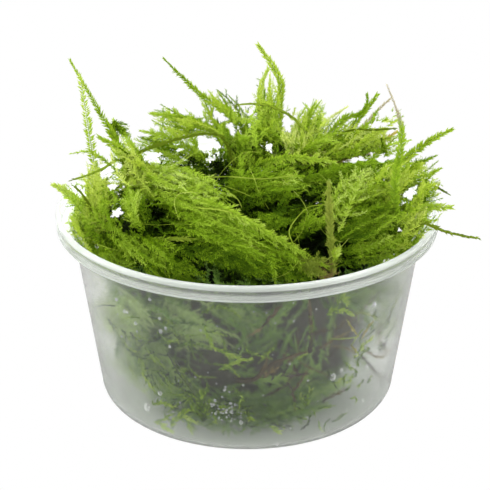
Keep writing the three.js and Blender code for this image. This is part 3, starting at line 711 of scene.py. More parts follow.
# Shoots that stand out of the heap: run from root to tip and width over the leaves, in millimetres
shoots = {
    "shoot_left_tall": {
        "run": [(-28.5, 3.4, 56.5), (-35, 6, 69), (-40, 6, 79), (-46, 6, 91)],
        "widths": [2.8, 2.6, 1.7, 1.2], "tones": [0.5, 0.66, 0.72]},
    "shoot_left_feather": {
        "run": [(-38, -6, 53), (-40, -3, 66), (-41, -2, 74), (-43, 0, 89)],
        "widths": [2.9, 3.0, 2.9, 2.0], "kind": "spiky", "tones": [0.62, 0.76, 0.84]},
    "shoot_left_curl": {
        "run": [(-31.5, 9, 52.5), (-33.5, 8.5, 63.5), (-36, 9, 72), (-32.5, 9.5, 72)],
        "widths": [1.5, 1.7, 2.2, 1.6], "tones": [0.42, 0.5, 0.46], "branch": 2.2},
    "shoot_left_branch": {
        "run": [(-24, -4, 61), (-29, -6, 68), (-38, -8, 75)],
        "widths": [2.2, 2.4, 1.8], "tones": [0.6, 0.72, 0.72], "branch": 3.0},
    "shoot_left_low": {
        "run": [(-41.5, 0, 50.5), (-45.9, 2, 53.2), (-48.6, 4, 55), (-51.6, 5, 56.4)],
        "widths": [3.2, 3.4, 3.0, 2.0], "tones": [0.7, 0.85, 0.9], "branch": 2.6},
    "stem_left_upper": {
        "run": [(-28.5, -9.5, 64), (-32.5, -13, 70.6), (-36.5, -15, 69), (-40.8, -15, 67.1),
                (-44.9, -16, 66.2)],
        "widths": [0.9, 0.9, 0.8, 0.7, 0.6], "tones": [0.4, 0.4, 0.42]},
    "stem_left_lower": {
        "run": [(-38.5, -16, 55.9), (-40.1, -18, 60.2), (-42, -19, 64.1), (-44.1, -20, 66.8)],
        "widths": [1.0, 0.9, 0.8, 0.6], "tones": [0.4, 0.42, 0.45]},
    "frond_left_broad": {
        "run": [(0, 6, 62), (-6, 6, 70), (-16, 5, 75), (-25, 4, 77)],
        "widths": [2.2, 2.4, 2.2, 1.6], "tones": [0.55, 0.68, 0.76], "branch": 5.0},
    "frond_left_lower": {
        "run": [(-10, -5, 66), (-16, -7, 72), (-21, -8, 75), (-27, -9, 77)],
        "widths": [2.0, 2.2, 2.0, 1.4], "tones": [0.55, 0.7, 0.78], "branch": 4.0},
    "stem_arch": {
        "run": [(-31, -17, 61.5), (-29, -14.5, 71.5), (-20.4, -14, 75.8), (-10.5, -12.5, 77.6),
                (-6, -11, 75.3), (-3, -8, 66)],
        "widths": [1.3, 1.3, 1.2, 1.1, 1.2, 1.3], "tones": [0.42, 0.4, 0.36]},
    "shoot_middle_tall": {
        "run": [(2, 10.5, 59.5), (-2, 12, 71.5), (-8.3, 12, 76.5), (-13.3, 12, 80.3), (-22, 10, 90.2)],
        "widths": [2.2, 2.4, 2.4, 1.8, 1.0], "tones": [0.6, 0.66, 0.56], "branch": 1.6},
    "tip_middle_left": {
        "run": [(0.5, 15.5, 58), (-5, 16, 74), (-8, 16, 79)],
        "widths": [1.8, 1.5, 0.9], "tones": [0.55, 0.6, 0.6]},
    "tip_middle_right": {
        "run": [(2.5, 18.5, 56.5), (-1, 20, 71), (-5, 21, 76)],
        "widths": [1.8, 1.4, 0.8], "tones": [0.55, 0.6, 0.6]},
    "shoot_top": {
        "run": [(7.5, 18.5, 54.5), (9, 24, 74), (9, 25, 79), (6, 25, 84.5), (3, 25, 89)],
        "widths": [2.6, 2.8, 2.8, 2.6, 2.0], "tones": [0.62, 0.76, 0.84]},
    "shoot_top_side": {
        "run": [(4.5, 15, 59), (3.4, 16, 75.5), (3.6, 17.5, 79.5), (5.5, 19, 84.5)],
        "widths": [2.3, 2.5, 2.4, 1.5], "tones": [0.66, 0.84, 0.9]},
    "stem_top_arch": {
        "run": [(19.5, -2, 64), (13.5, 7, 73), (7.5, 8, 77), (3, 8.5, 78), (-3, 8, 78)],
        "widths": [1.1, 1.1, 1.0, 0.9, 0.7], "tones": [0.42, 0.42, 0.45]},
    "tip_middle": {
        "run": [(11, 7.5, 58.5), (15, 10, 71), (18, 12, 77)],
        "widths": [2.2, 2.2, 1.1], "tones": [0.56, 0.66, 0.66], "branch": 2.6},
    "shoot_back_pale": {
        "run": [(8.5, 14.5, 57.5), (16, 22.5, 62.5), (21, 27, 66), (28, 32, 69)],
        "widths": [1.8, 1.8, 1.0], "tones": [0.5, 0.6, 0.7], "leaf": "pale"},
    "shoot_fork_left": {
        "run": [(15, 10, 56.5), (25, 14, 71), (29.5, 15, 72.5), (32, 15.5, 75), (32, 16, 78)],
        "widths": [2.6, 2.9, 3.0, 2.1, 1.5], "tones": [0.56, 0.68, 0.5], "branch": 1.8},
    "shoot_fork_right": {
        "run": [(22, 14, 52), (28, 17, 67.5), (31, 18, 71.5), (33, 18.5, 74), (35, 19, 77)],
        "widths": [2.3, 2.4, 2.4, 1.9], "tones": [0.56, 0.66, 0.66]},
    "shoot_right_tall": {
        "run": [(36.4, -26, 51.5), (36.4, -26.5, 62), (36.6, -25, 71), (38, -21.5, 82), (34.4, -16, 91.8)],
        "widths": [2.6, 2.8, 2.9, 2.8, 2.7, 2.3, 1.0, 0.8],
        "tones": [0.3, 0.36, 0.42, 0.46, 0.48, 0.5, 0.85, 0.95], "leaf": "fading"},
    "shoot_right_pale": {
        "run": [(17, 18, 51.5), (24, 22, 58.5), (31, 26.5, 64), (37, 32, 68.5), (40.5, 34, 71)],
        "widths": [1.5, 1.5, 1.6, 1.5, 1.1], "tones": [0.4, 0.5, 0.6], "leaf": "mauve"},
    "stem_right_arch": {
        "run": [(16, 2, 63), (25, 3, 72), (33, 4, 72.5), (39, 5, 72.5)],
        "widths": [1.1, 1.0, 0.9, 0.8], "tones": [0.32, 0.32, 0.36]},
    "frond_right_old": {
        "run": [(18.5, 3, 61), (27, 8, 63.5), (33.5, 10, 65), (40, 12, 69)],
        "widths": [1.9, 2.0, 1.9, 1.3], "tones": [0.56, 0.72, 0.8], "leaf": "old", "branch": 3.6},
    "shoot_right_up": {
        "run": [(34, -4, 59), (40, -3, 66), (47, -1, 71), (53, 0, 74)],
        "widths": [2.8, 2.8, 2.4, 1.8], "tones": [0.62, 0.7, 0.66], "branch": 1.6},
    "shoot_right_middle": {
        "run": [(35, -10, 59), (42, -8, 62), (50, -6, 65.5)],
        "widths": [2.2, 2.2, 1.3], "tones": [0.62, 0.72, 0.7], "branch": 2.0},
    "stem_right": {
        "run": [(36, -2, 54), (43.5, 1, 58), (48.5, 2, 58), (53.5, 2, 55)],
        "widths": [1.1, 1.0, 0.9, 0.8], "tones": [0.4, 0.45, 0.4]},
    "shoot_right_thick": {
        "run": [(35, -17, 57), (43, -15, 58.5), (52, -14, 58)],
        "widths": [2.8, 3.0, 2.2], "tones": [0.68, 0.8, 0.84], "branch": 2.2},
    "tip_right_low": {
        "run": [(36, -22, 56), (43, -21, 57), (48, -20, 57)],
        "widths": [1.8, 1.6, 0.9], "tones": [0.62, 0.72, 0.7]},
    "stem_right_reach": {
        "run": [(39.5, -24, 53.5), (43.5, -25.5, 58.5), (46.6, -25.5, 57.6), (50.7, -24, 55.4),
                (58.7, -22, 52.8)],
        "widths": [1.3, 1.3, 1.2, 1.1, 0.9], "tones": [0.5, 0.5, 0.5]},
    "frond_centre": {
        "run": [(0, -9, 67), (10, -15, 72), (22, -18, 72)],
        "widths": [2.0, 2.2, 1.4], "tones": [0.58, 0.7, 0.78], "branch": 3.4},
    "frond_front_long": {
        "run": [(-17, -25, 66.5), (-4, -37, 66.5), (9, -43, 61), (19, -44.5, 55.5)],
        "widths": [1.9, 2.1, 2.0, 1.5], "tones": [0.66, 0.74, 0.62], "branch": 3.8},
    "stem_front_arch": {
        "run": [(-24, -34, 58), (-12, -42, 61.5), (3, -44, 60), (8, -42, 55)],
        "widths": [1.4, 1.3, 1.2, 0.9], "tones": [0.55, 0.62, 0.55]},
    "shoot_brown": {
        "run": [(20.9, -41, 51.5), (20.2, -40, 59), (19.8, -36, 66), (19.7, -32, 72)],
        "widths": [1.8, 2.2, 2.5, 1.6], "tones": [0.6, 0.62, 0.62], "leaf": "brown", "branch": 1.5},
    "shoot_back_1": {
        "run": [(-24, 17, 48.5), (-30, 25, 56.5), (-34, 31, 60.5), (-38, 38, 63)],
        "widths": [2.4, 2.3, 1.4], "tones": [0.5, 0.66, 0.76]},
    "shoot_back_2": {
        "run": [(-12, 22, 52), (-15, 31, 59), (-17, 39, 61.5), (-19, 49, 60)],
        "widths": [2.5, 2.4, 1.4], "tones": [0.5, 0.66, 0.76], "branch": 2.6},
    "shoot_back_3": {
        "run": [(-2, 23, 52.5), (-1, 33, 59), (1, 41, 62.5), (4, 51, 62)],
        "widths": [2.3, 2.3, 1.2], "tones": [0.5, 0.66, 0.76]},
    "shoot_back_4": {
        "run": [(9, 24, 51.5), (14, 32.5, 58), (19, 39.5, 60.5), (24, 48, 59)],
        "widths": [2.5, 2.5, 1.5], "tones": [0.5, 0.66, 0.76], "branch": 2.6},
    "shoot_back_5": {
        "run": [(26, 13, 50.5), (33.5, 19.5, 57), (39, 25, 60), (46, 32, 59)],
        "widths": [2.3, 2.3, 1.4], "tones": [0.5, 0.66, 0.76]},
    "shoot_back_6": {
        "run": [(-29, 14.5, 48.5), (-36.5, 17, 56.5), (-43, 20, 60), (-49, 24, 58)],
        "widths": [2.4, 2.3, 1.4], "tones": [0.5, 0.66, 0.76], "branch": 2.2},
}


# Stem radius, and spacing, angle and width of side branches, in millimetres and degrees
standingForm = {"stem": 0.2, "bareStem": 0.5, "bareTaper": 0.4, "branchGap": 1.25, "branchAngle": 46,
                "branchWidth": 1.5}
shootSlots = {"old": "old_moss", "brown": "old_moss", "pale": "pale_moss", "mauve": "pale_moss"}


def growStandingShoots():
    for number, (name, shoot) in enumerate(shoots.items()):
        rng = np.random.default_rng(300 + number)
        bag = newBag()
        root = np.array(shoot["run"][0], dtype=float)
        facing = towardsFront
        if name.startswith("shoot_back_") and name[-1].isdigit():
            facing = unit(np.array([root[0], root[1], 0]) / np.hypot(root[0], root[1]) + [0, 0, 1])
        branches = None
        if "branch" in shoot:
            branches = {"gap": standingForm["branchGap"], "angle": standingForm["branchAngle"],
                        "length": shoot["branch"], "width": standingForm["branchWidth"]}
        if name.startswith("stem_"):
            # a nearly bare stem, with a few leaves pressed to it
            family, slot, kind = "stem", "moss_stem", "pressed"
            stem, taper = standingForm["bareStem"], standingForm["bareTaper"]
        else:
            family, kind = shoot.get("leaf", "young"), shoot.get("kind", "plain")
            slot = shootSlots.get(family, "moss_leaf")
            stem, taper = standingForm["stem"], shootForm["taper"]
        growShoot(bag, shoot["run"], shoot["widths"], kind, shoot["tones"], facing, rng, stem,
                  branches, taper)
        piece = bagPiece(name + "_leaves", bag, mossMaterials[family])
        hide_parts(name)


growStandingShoots()
print("standing shoots grown")

# Places in the photo that one looks through, and dark places between the fronds: pixel and half size
gaps = {
    "topLeft": (220, 117, 8, 6), "topMiddle": (238, 128, 10, 9), "topPeek": (251, 113, 4, 5),
    "underArchLeft": (185, 147, 13, 6), "underArch": (207, 142, 12, 8), "belowArch": (208, 160, 6, 5),
    "leftShoulder": (151, 157, 12, 5), "besideTop": (286, 121, 8, 9), "middle": (267, 147, 6, 8),
    "rightLong": (352, 160, 15, 4), "rightUpper": (380, 125, 16, 3), "rightNarrow": (379, 157, 12, 5),
    "rightSlit": (386, 180, 4, 3), "rightEdge": (411, 192, 7, 8), "rightLow": (403, 207, 4, 4),
    "rightWall": (398, 229, 4, 4), "leftTriangle": (107, 170, 7, 10), "leftWindow": (121, 163, 5, 5),
    "leftFork": (104, 152, 5, 9), "besideFeather": (78, 192, 7, 6), "leftDeep": (117, 213, 6, 6),
    "leftDeepLow": (126, 226, 6, 5), "topRight": (388, 112, 7, 6), "overLeft": (112, 187, 4, 5),
}
# painted shade: in the hollows, and most in the deepest places, the leaves' tone is lowered
hollows = {
    "centreBelow": (224, 189, 8, 6), "centreDark": (270, 205, 40, 14), "rightPit": (310, 242, 18, 15),
    "rightPitLow": (345, 255, 14, 10), "leftPit": (150, 207, 9, 8), "leftPitLow": (150, 228, 13, 10),
    "frontPit": (184, 255, 18, 9), "frontFoot": (225, 276, 25, 6), "rightShade": (385, 205, 30, 8),
}
# share of a gap's size that leaves and whole fronds leave free, and how much painted shade lowers the tone
# of leaves in a hollow
gapMargins = {"leaves": 0.9, "fronds": 1.1}
hollowShades = {"hollows": 0.13, "deepest": 0.22}
deepest = {"centreNotch": (221, 163, 7, 22), "leftHole": (157, 215, 7, 6), "pit": (312, 243, 13, 11)}


def inside(pixels, places, grow=1.0):
    # each place has a ragged edge of its own
    found = np.zeros(len(pixels), dtype=bool)
    for number, (u, v, halfWide, halfHigh) in enumerate(places.values()):
        x, y = (pixels[:, 0] - u) / halfWide, (pixels[:, 1] - v) / halfHigh
        angle = np.arctan2(y, x)
        ragged = 1 + 0.28 * np.sin(2 * angle + number * 1.7) + 0.24 * np.sin(5 * angle + number * 2.9)
        found |= np.hypot(x, y) < ragged * grow
    return found


def closesGap(points):
    return inside(toPixels(points), gaps, gapMargins["fronds"]).any()


def clearGaps(bag):
    # leaves that would close a gap are taken out
    corners, faces, tones = np.vstack(bag["corners"]), np.vstack(bag["faces"]), np.concatenate(bag["tones"])
    centres = corners[faces].mean(axis=1)
    closing = inside(toPixels(centres), gaps, gapMargins["leaves"])
    faces = faces[~closing]
    # painted shade: leaves in the hollows and the deepest places get a lower tone, as little light gets in
    pixels = toPixels(corners)
    tones = tones - hollowShades["hollows"] * inside(pixels, hollows)
    tones = tones - hollowShades["deepest"] * inside(pixels, deepest)
    used, inverse = np.unique(faces, return_inverse=True)
    return {"corners": [insideTub(corners[used])], "faces": [inverse.reshape(-1, 3)], "tones": [tones[used]],
            "count": len(used), "triangles": len(faces)}


# Locks of fronds that the photo shows, combed from one pixel to another. Sizes in millimetres:
# width over the leaves, branch length. Spread in pixels. Depth is y where the lock stands free.
# Tone is how light a lock's leaves are, painted light and shade included: locks low at the front are darker,
# those at the top and edges lighter.
locks = {
    "leftEdge": {"start": (92, 252), "end": (74, 206), "spread": 7, "count": 12, "tone": 0.72,
                 "depth": (-24, -8)},
    "leftUpright": {"start": (102, 240), "end": (93, 168), "spread": 8, "count": 14, "tone": 0.78,
                    "depth": (-22, -8)},
    "leftBright": {"start": (112, 225), "end": (102, 165), "spread": 7, "count": 14, "tone": 0.8,
                   "depth": (-20, -6)},
    "leftShoulder": {"start": (158, 198), "end": (116, 148), "spread": 8, "count": 22, "tone": 0.76,
                     "depth": (-24, -10)},
    "leftFill": {"start": (128, 232), "end": (118, 190), "spread": 13, "count": 24, "tone": 0.6},
    "leftRim": {"start": (82, 236), "end": (132, 266), "spread": 6, "count": 16, "tone": 0.58},
    "leftRimInner": {"start": (96, 226), "end": (150, 260), "spread": 8, "count": 18, "tone": 0.6},
    "leftFront": {"start": (128, 240), "end": (184, 274), "spread": 8, "count": 20, "tone": 0.56},
    "sweepTop": {"start": (122, 154), "end": (204, 196), "spread": 8, "count": 26, "tone": 0.74},
    "sweepUpper": {"start": (150, 164), "end": (232, 202), "spread": 7, "count": 22, "tone": 0.72},
    "sweepMiddle": {"start": (140, 186), "end": (240, 226), "spread": 6, "count": 26, "tone": 0.65},
    "sweepLong": {"start": (160, 200), "end": (258, 248), "spread": 7, "count": 26, "tone": 0.57},
    "sweepLow": {"start": (172, 212), "end": (282, 262), "spread": 7, "count": 22, "tone": 0.5},
    "sweepEnd": {"start": (240, 228), "end": (318, 274), "spread": 5, "count": 16, "tone": 0.54},
    "underSweep": {"start": (166, 232), "end": (250, 264), "spread": 8, "count": 20, "tone": 0.42},
    "frontLow": {"start": (190, 254), "end": (280, 276), "spread": 7, "count": 20, "tone": 0.32},
    "frontLowRight": {"start": (250, 262), "end": (318, 278), "spread": 5, "count": 12, "tone": 0.36},
    "frontFoot": {"start": (140, 256), "end": (206, 281), "spread": 6, "count": 16, "tone": 0.4},
    "centreLevel": {"start": (204, 183), "end": (296, 181), "spread": 5, "count": 16, "tone": 0.5},
    "centreBend": {"start": (236, 202), "end": (300, 188), "spread": 7, "count": 12, "tone": 0.44},
    "centreDown": {"start": (318, 196), "end": (246, 226), "spread": 9, "count": 16, "tone": 0.4},
    "centreRing": {"start": (288, 240), "end": (326, 212), "spread": 4, "count": 8, "tone": 0.52},
    "centrePale": {"start": (256, 176), "end": (322, 183), "spread": 4, "count": 6, "tone": 0.72},
    "topLeft": {"start": (240, 178), "end": (238, 112), "spread": 13, "count": 24, "tone": 0.7,
                "depth": (-10, 6)},
    "topMiddle": {"start": (262, 172), "end": (278, 104), "spread": 12, "count": 24, "tone": 0.78,
                  "depth": (-4, 14)},
    "topDense": {"start": (290, 176), "end": (318, 122), "spread": 14, "count": 30, "tone": 0.95,
                 "depth": (-6, 14)},
    "topRight": {"start": (308, 172), "end": (352, 128), "spread": 10, "count": 22, "tone": 0.7,
                 "depth": (-4, 12)},
    "rightRidge": {"start": (300, 180), "end": (394, 162), "spread": 4, "count": 16, "tone": 0.54},
    "rightFan": {"start": (326, 214), "end": (392, 168), "spread": 9, "count": 26, "tone": 0.79},
    "rightFanLow": {"start": (340, 236), "end": (412, 196), "spread": 9, "count": 24, "tone": 0.6},
    "rightClump": {"start": (368, 208), "end": (408, 166), "spread": 8, "count": 20, "tone": 0.68,
                   "depth": (-26, -16)},
    "rightEdge": {"start": (384, 252), "end": (424, 206), "spread": 9, "count": 24, "tone": 0.74,
                  "depth": (-30, -20)},
    "rightRim": {"start": (344, 262), "end": (412, 236), "spread": 7, "count": 18, "tone": 0.58},
    "rightSoft": {"start": (336, 228), "end": (402, 218), "spread": 9, "count": 18, "tone": 0.34},
    "rightOuter": {"start": (398, 206), "end": (432, 176), "spread": 6, "count": 12, "tone": 0.66,
                   "depth": (-18, -12)},
    "fanLeftBack": {"start": (222, 142), "end": (150, 117), "spread": 5, "count": 11, "tone": 0.66,
                    "depth": (0, 6)},
    "fanLeftLow": {"start": (192, 160), "end": (138, 137), "spread": 4, "count": 8, "tone": 0.74,
                   "depth": (-5, -4)},
    "fanLeftTop": {"start": (240, 142), "end": (206, 94), "spread": 4, "count": 12, "tone": 0.6,
                   "depth": (6, 12)},
    "fanRightBack": {"start": (326, 160), "end": (398, 118), "spread": 5, "count": 16, "tone": 0.78,
                     "depth": (0, 12)},
    "fanRightOld": {"start": (335, 170), "end": (400, 138), "spread": 5, "count": 14, "tone": 0.8,
                    "depth": (-4, 8)},
    "fanMiddle": {"start": (300, 152), "end": (320, 104), "spread": 6, "count": 12, "tone": 0.78,
                  "depth": (2, 14)},
    "fanTop": {"start": (268, 150), "end": (268, 78), "spread": 5, "count": 10, "tone": 0.66,
               "depth": (6, 18)},
    "brownBulb": {"start": (333, 266), "end": (341, 244), "spread": 0.9, "count": 9, "tone": 0.96,
                  "depth": (-43, -40), "plain": True},
    "leftCurlCap": {"start": (112, 123), "end": (129, 136), "spread": 1.5, "count": 6, "tone": 0.6,
                    "depth": (9, 9)},
    "rightBand": {"start": (417, 204), "end": (424, 178), "spread": 2, "count": 6, "tone": 0.66,
                  "depth": (-18, -14)},
    "rightBranches": {"start": (398, 178), "end": (434, 158), "spread": 3, "count": 7, "tone": 0.62,
                      "depth": (-6, -2)},
    "agedTwigs": {"start": (290, 258), "end": (326, 273), "spread": 2.5, "count": 10, "tone": 0.5},
    "twigPatch": {"start": (314, 272), "end": (333, 269), "spread": 1.2, "count": 5, "tone": 0.5},
}
frond = {
    "stem": 0.13,
    "width": 1.75,
    "branchGap": 1.7,
    "branchAngle": 50,
    "branchLength": 4.4,
    "branchWidth": 1.3,
    "branchedShare": 0.55,
    "strayShare": 0.22,
    "strayTurn": 50,
    "bow": 3.5,
}
# Widths as shares of the frond's and shades in tone, from root to tip. A frond stays clear of the plastic
# by so many millimetres.
frondLooks = {
    "lock": {"widths": (0.8, 1, 1, 0.5), "scatter": (0.7, 1.25), "shades": (-0.13, 0, 0.07), "clear": 1.6},
    "wall": {"widths": (0.8, 1, 0.6), "scatter": (0.7, 1.2), "shades": (-0.15, 0, 0.12), "clear": 0.3},
    "cover": {"widths": (0.8, 1, 1, 0.5), "scatter": (0.75, 1.25), "shades": (-0.18, 0, 0.12), "clear": 1.2},
    "tuft": {"widths": (0.9, 1, 0.5), "scatter": (0.8, 1.2), "shades": (-0.18, 0, 0.12), "clear": 0.9},
}


def frondBranches(rng):
    if rng.random() > frond["branchedShare"]:
        return None
    return {"gap": frond["branchGap"], "angle": frond["branchAngle"],
            "length": frond["branchLength"] * rng.uniform(0.5, 1.25), "width": frond["branchWidth"]}


def growFrond(bag, points, look, kind, tone, facing, rng, turn=None, bare=False):
    # one frond of the tangle, turned a little at random about its stem unless turn is left out
    width = frond["width"] * rng.uniform(*look["scatter"])
    if turn is not None:
        facing = facing + rng.normal(0, turn, 3)
    branches = None if bare else frondBranches(rng)
    growShoot(bag, points, np.array(look["widths"]) * width, kind, tone + np.array(look["shades"]),
              facing, rng, frond["stem"], branches)


def combed(start, end, spread, rng):
    # first and last pixel of a frond in a lock: most follow it, and some stray across it
    along = end - start
    across = np.array([-along[1], along[0]]) / np.linalg.norm(along)
    offset = across * rng.normal(0, spread)
    first = start + along * rng.uniform(-0.12, 0.5) + offset
    last = end + along * rng.uniform(-0.38, 0.1) + offset * rng.uniform(0.4, 1.3)
    if rng.random() < frond["strayShare"]:
        middle, half = (first + last) / 2, (last - first) / 2 * rng.uniform(0.5, 0.8)
        turn = math.radians(rng.normal(0, frond["strayTurn"]))
        half = np.array([half[0] * math.cos(turn) - half[1] * math.sin(turn),
                         half[0] * math.sin(turn) + half[1] * math.cos(turn)])
        first, last = middle - half, middle + half
    return first, last, across * rng.normal(0, frond["bow"])


def onWall(pixel, inset):
    # where the sight line meets the inside of the tub's front wall, found by going nearer step by step
    y = -30.0
    corner = tub["cornerRadius"]
    for _ in range(25):
        place = atDepth(pixel, y)
        low = np.clip(1 - place[2] / corner, 0, 1)
        rounding = corner * (1 - math.sqrt(1 - low ** 2))
        radius = wallRadius(max(place[2], corner)) - tub["wall"] - inset - rounding
        y = 0.5 * y - 0.5 * math.sqrt(max(radius ** 2 - place[0] ** 2, 1.0))
    return atDepth(pixel, y)


# Locks pressed against the inside of the wall: inset is how far in from the plastic, in millimetres
# Tone also holds painted light and shade: locks high on the wall are lighter than those at the foot.
wallLocks = {
    "leftTop": {"start": (100, 296), "end": (150, 332), "spread": 9, "count": 40, "tone": 1.0,
                "inset": (0.4, 2.5), "behind": 0.4},
    "leftSlant": {"start": (112, 318), "end": (180, 392), "spread": 10, "count": 28, "tone": 0.8,
                  "inset": (0.6, 4)},
    "leftInner": {"start": (145, 305), "end": (232, 345), "spread": 11, "count": 28, "tone": 0.9,
                  "inset": (1, 4)},
    "leftLow": {"start": (130, 352), "end": (198, 410), "spread": 9, "count": 22, "tone": 0.56,
                "inset": (0.6, 3)},
    "middleTop": {"start": (190, 308), "end": (275, 318), "spread": 8, "count": 14, "tone": 0.76,
                  "inset": (2.5, 6)},
    "middleLow": {"start": (205, 405), "end": (300, 402), "spread": 9, "count": 18, "tone": 0.46,
                  "inset": (1.5, 5)},
    "footLeft": {"start": (168, 398), "end": (250, 430), "spread": 7, "count": 16, "tone": 0.5,
                 "inset": (1, 4)},
    "footRight": {"start": (245, 428), "end": (322, 402), "spread": 6, "count": 14, "tone": 0.5,
                  "inset": (1, 4)},
    "rightLow": {"start": (262, 402), "end": (345, 380), "spread": 8, "count": 16, "tone": 0.6,
                 "inset": (1, 4)},
    "rightSide": {"start": (398, 285), "end": (368, 350), "spread": 7, "count": 16, "tone": 0.8,
                  "inset": (1, 4)},
    "rightEdge": {"start": (408, 272), "end": (390, 335), "spread": 4, "count": 14, "tone": 0.8,
                  "inset": (0.6, 3)},
    "rightTop": {"start": (330, 300), "end": (392, 296), "spread": 6, "count": 10, "tone": 0.74,
                 "inset": (2, 5)},
}


def growWallLocks(seed):
    rng = np.random.default_rng(seed)
    bag, look = newBag(), frondLooks["wall"]
    for name, lock in wallLocks.items():
        start, end = np.array(lock["start"], float), np.array(lock["end"], float)
        for _ in range(lock["count"]):
            first, last, bow = combed(start, end, lock["spread"], rng)
            inset = rng.uniform(*lock["inset"]) + lock.get("behind", 2)
            points = [onWall(first, inset + 2), onWall((first + last) / 2 + bow, inset),
                      onWall(last, inset + 0.4)]
            outwards = unit(points[1] * [1, 1, 0])
            tone = lock["tone"] + rng.normal(0, 0.09)
            growFrond(bag, insideTub(points, look["clear"]), look, "deep", tone, outwards, rng, 0.2)
    return bag


# A lock that stands free is shifted in depth, and any other is lifted off the heap, in millimetres
lockForm = {
    "tries": 6,
    "freeShift": (-3, 6),
    "lifts": (-2.5, 0.2, 0.8),
    "tipLift": (0.2, 2.2),
    "facingScatter": 0.25,
    "toneScatter": 0.06,
    "depthShade": 0.03,
    "hollowShare": 0.3,
}


def growLocks(names, seed, layer, kind, countShare=1.0, toneShift=0.0):
    rng = np.random.default_rng(seed)
    bag, look = newBag(), frondLooks["lock"]
    for name in names:
        lock = locks[name]
        start, end = np.array(lock["start"], float), np.array(lock["end"], float)
        for _ in range(max(1, int(lock["count"] * countShare))):
            # a frond that would close a gap is laid anew a few times, and then left out
            for _ in range(lockForm["tries"]):
                first, last, bow = combed(start, end, lock["spread"], rng)
                depth = rng.uniform(*layer)
                if "depth" in lock:
                    near, far = lock["depth"]
                    shift = rng.uniform(*lockForm["freeShift"]) - depth
                    points = [atDepth(first, near + shift),
                              atDepth((first + last) / 2 + bow, (near + far) / 2 + shift),
                              atDepth(last, far + shift)]
                    facing = towardsFront + rng.normal(0, lockForm["facingScatter"], 3)
                else:
                    along = last - first
                    pixels = [first, first + along * 0.35 + bow, first + along * 0.7 + bow, last]
                    lifts = np.array([*lockForm["lifts"], rng.uniform(*lockForm["tipLift"])]) + depth
                    points, normals, previous = [], [], -20.0
                    for pixel, lift in zip(pixels, lifts):
                        place, normal, _ = onHeap(pixel, previous)
                        previous = place[1]
                        points.append(place + normal * lift)
                        normals.append(normal)
                    facing = np.mean(normals, axis=0) + rng.normal(0, lockForm["facingScatter"], 3)
                points = insideTub(points, look["clear"])
                if closesGap(points):
                    continue
                hollowShare = inside(toPixels(points), hollows, gapMargins["leaves"]).mean()
                if layer[1] > -2 and "plain" not in lock and hollowShare > lockForm["hollowShare"]:
                    continue
                break
            else:
                continue
            tone = lock["tone"] + rng.normal(0, lockForm["toneScatter"]) + toneShift
            # painted shade: the deeper a frond lies, the darker its leaves
            tone += min(depth, 0) * lockForm["depthShade"]
            growFrond(bag, points, look, kind, tone, facing, rng, bare="plain" in lock)
    return bag


sweepNames = [name for name in locks if name.startswith(("sweep", "left", "front", "under"))]
brightNames = ["leftEdge", "leftUpright", "leftBright", "leftShoulder", "topDense", "topRight", "fanMiddle",
               "fanRightBack", "fanLeftBack", "fanLeftTop", "fanTop", "rightEdge", "rightClump",
               "rightOuter", "rightBand", "rightBranches"]
sweepNames = [name for name in sweepNames if name not in brightNames]
otherNames = [name for name in locks if name not in sweepNames + brightNames + ["agedTwigs", "twigPatch"]]
frontPieces = {
    "moss_front_left": ("young", growLocks(sweepNames, 11, (-1.5, 1.0), "fine")),
    "moss_front_right": ("young", growLocks(otherNames, 12, (-1.5, 1.0), "fine", 1.05)),
    "moss_front_bright": ("bright", growLocks(brightNames, 16, (-1.5, 1.0), "fine", 1.05)),
    # the under layers lie beneath the front fronds and take painted shade: their tone is lowered
    "moss_under_left": ("grown", growLocks(sweepNames, 13, (-7.0, -1.5), "deep", 1.3, -0.1)),
    "moss_under_right": ("grown", growLocks(otherNames, 14, (-7.0, -1.5), "deep", 1.3, -0.1)),
    "moss_under_bright": ("young", growLocks(brightNames, 17, (-7.0, -1.5), "deep", 1.3, -0.05)),
    "moss_aged_twigs": ("brown", growLocks(["agedTwigs"], 15, (0.0, 1.5), "fine")),
    "moss_brown_patch": ("twig", growLocks(["twigPatch"], 18, (0.0, 1.5), "fine")),
}
for pieceName, (family, bag) in frontPieces.items():
    piece = bagPiece(pieceName, clearGaps(bag), mossMaterials[family])
    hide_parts("moss_heap")
print("front locks grown")


# Fronds all over the heap and down the inside of the tub, between two heights and two angles
domeQuads = domeCorners[domeFaces]
domeMiddles = domeQuads.mean(axis=1)
domeCross = np.cross(domeQuads[:, 2] - domeQuads[:, 0], domeQuads[:, 3] - domeQuads[:, 1])
domeAreas = np.linalg.norm(domeCross, axis=1) / 2
domeAngles = np.degrees(np.arctan2(domeMiddles[:, 1], domeMiddles[:, 0]))


cover = {
    "length": (8, 19),
    "lifts": ((0, -2.5), (0.35, 0.0), (0.7, 0.6)),
    "freeTip": (0.5, 4.5),
    "tipInTub": 0.8,
    "driftScatter": 0.6,
    "placeScatter": 0.8,
    "turn": 0.3,
    "toneScatter": 0.07,
    "depthShade": 0.02,
}


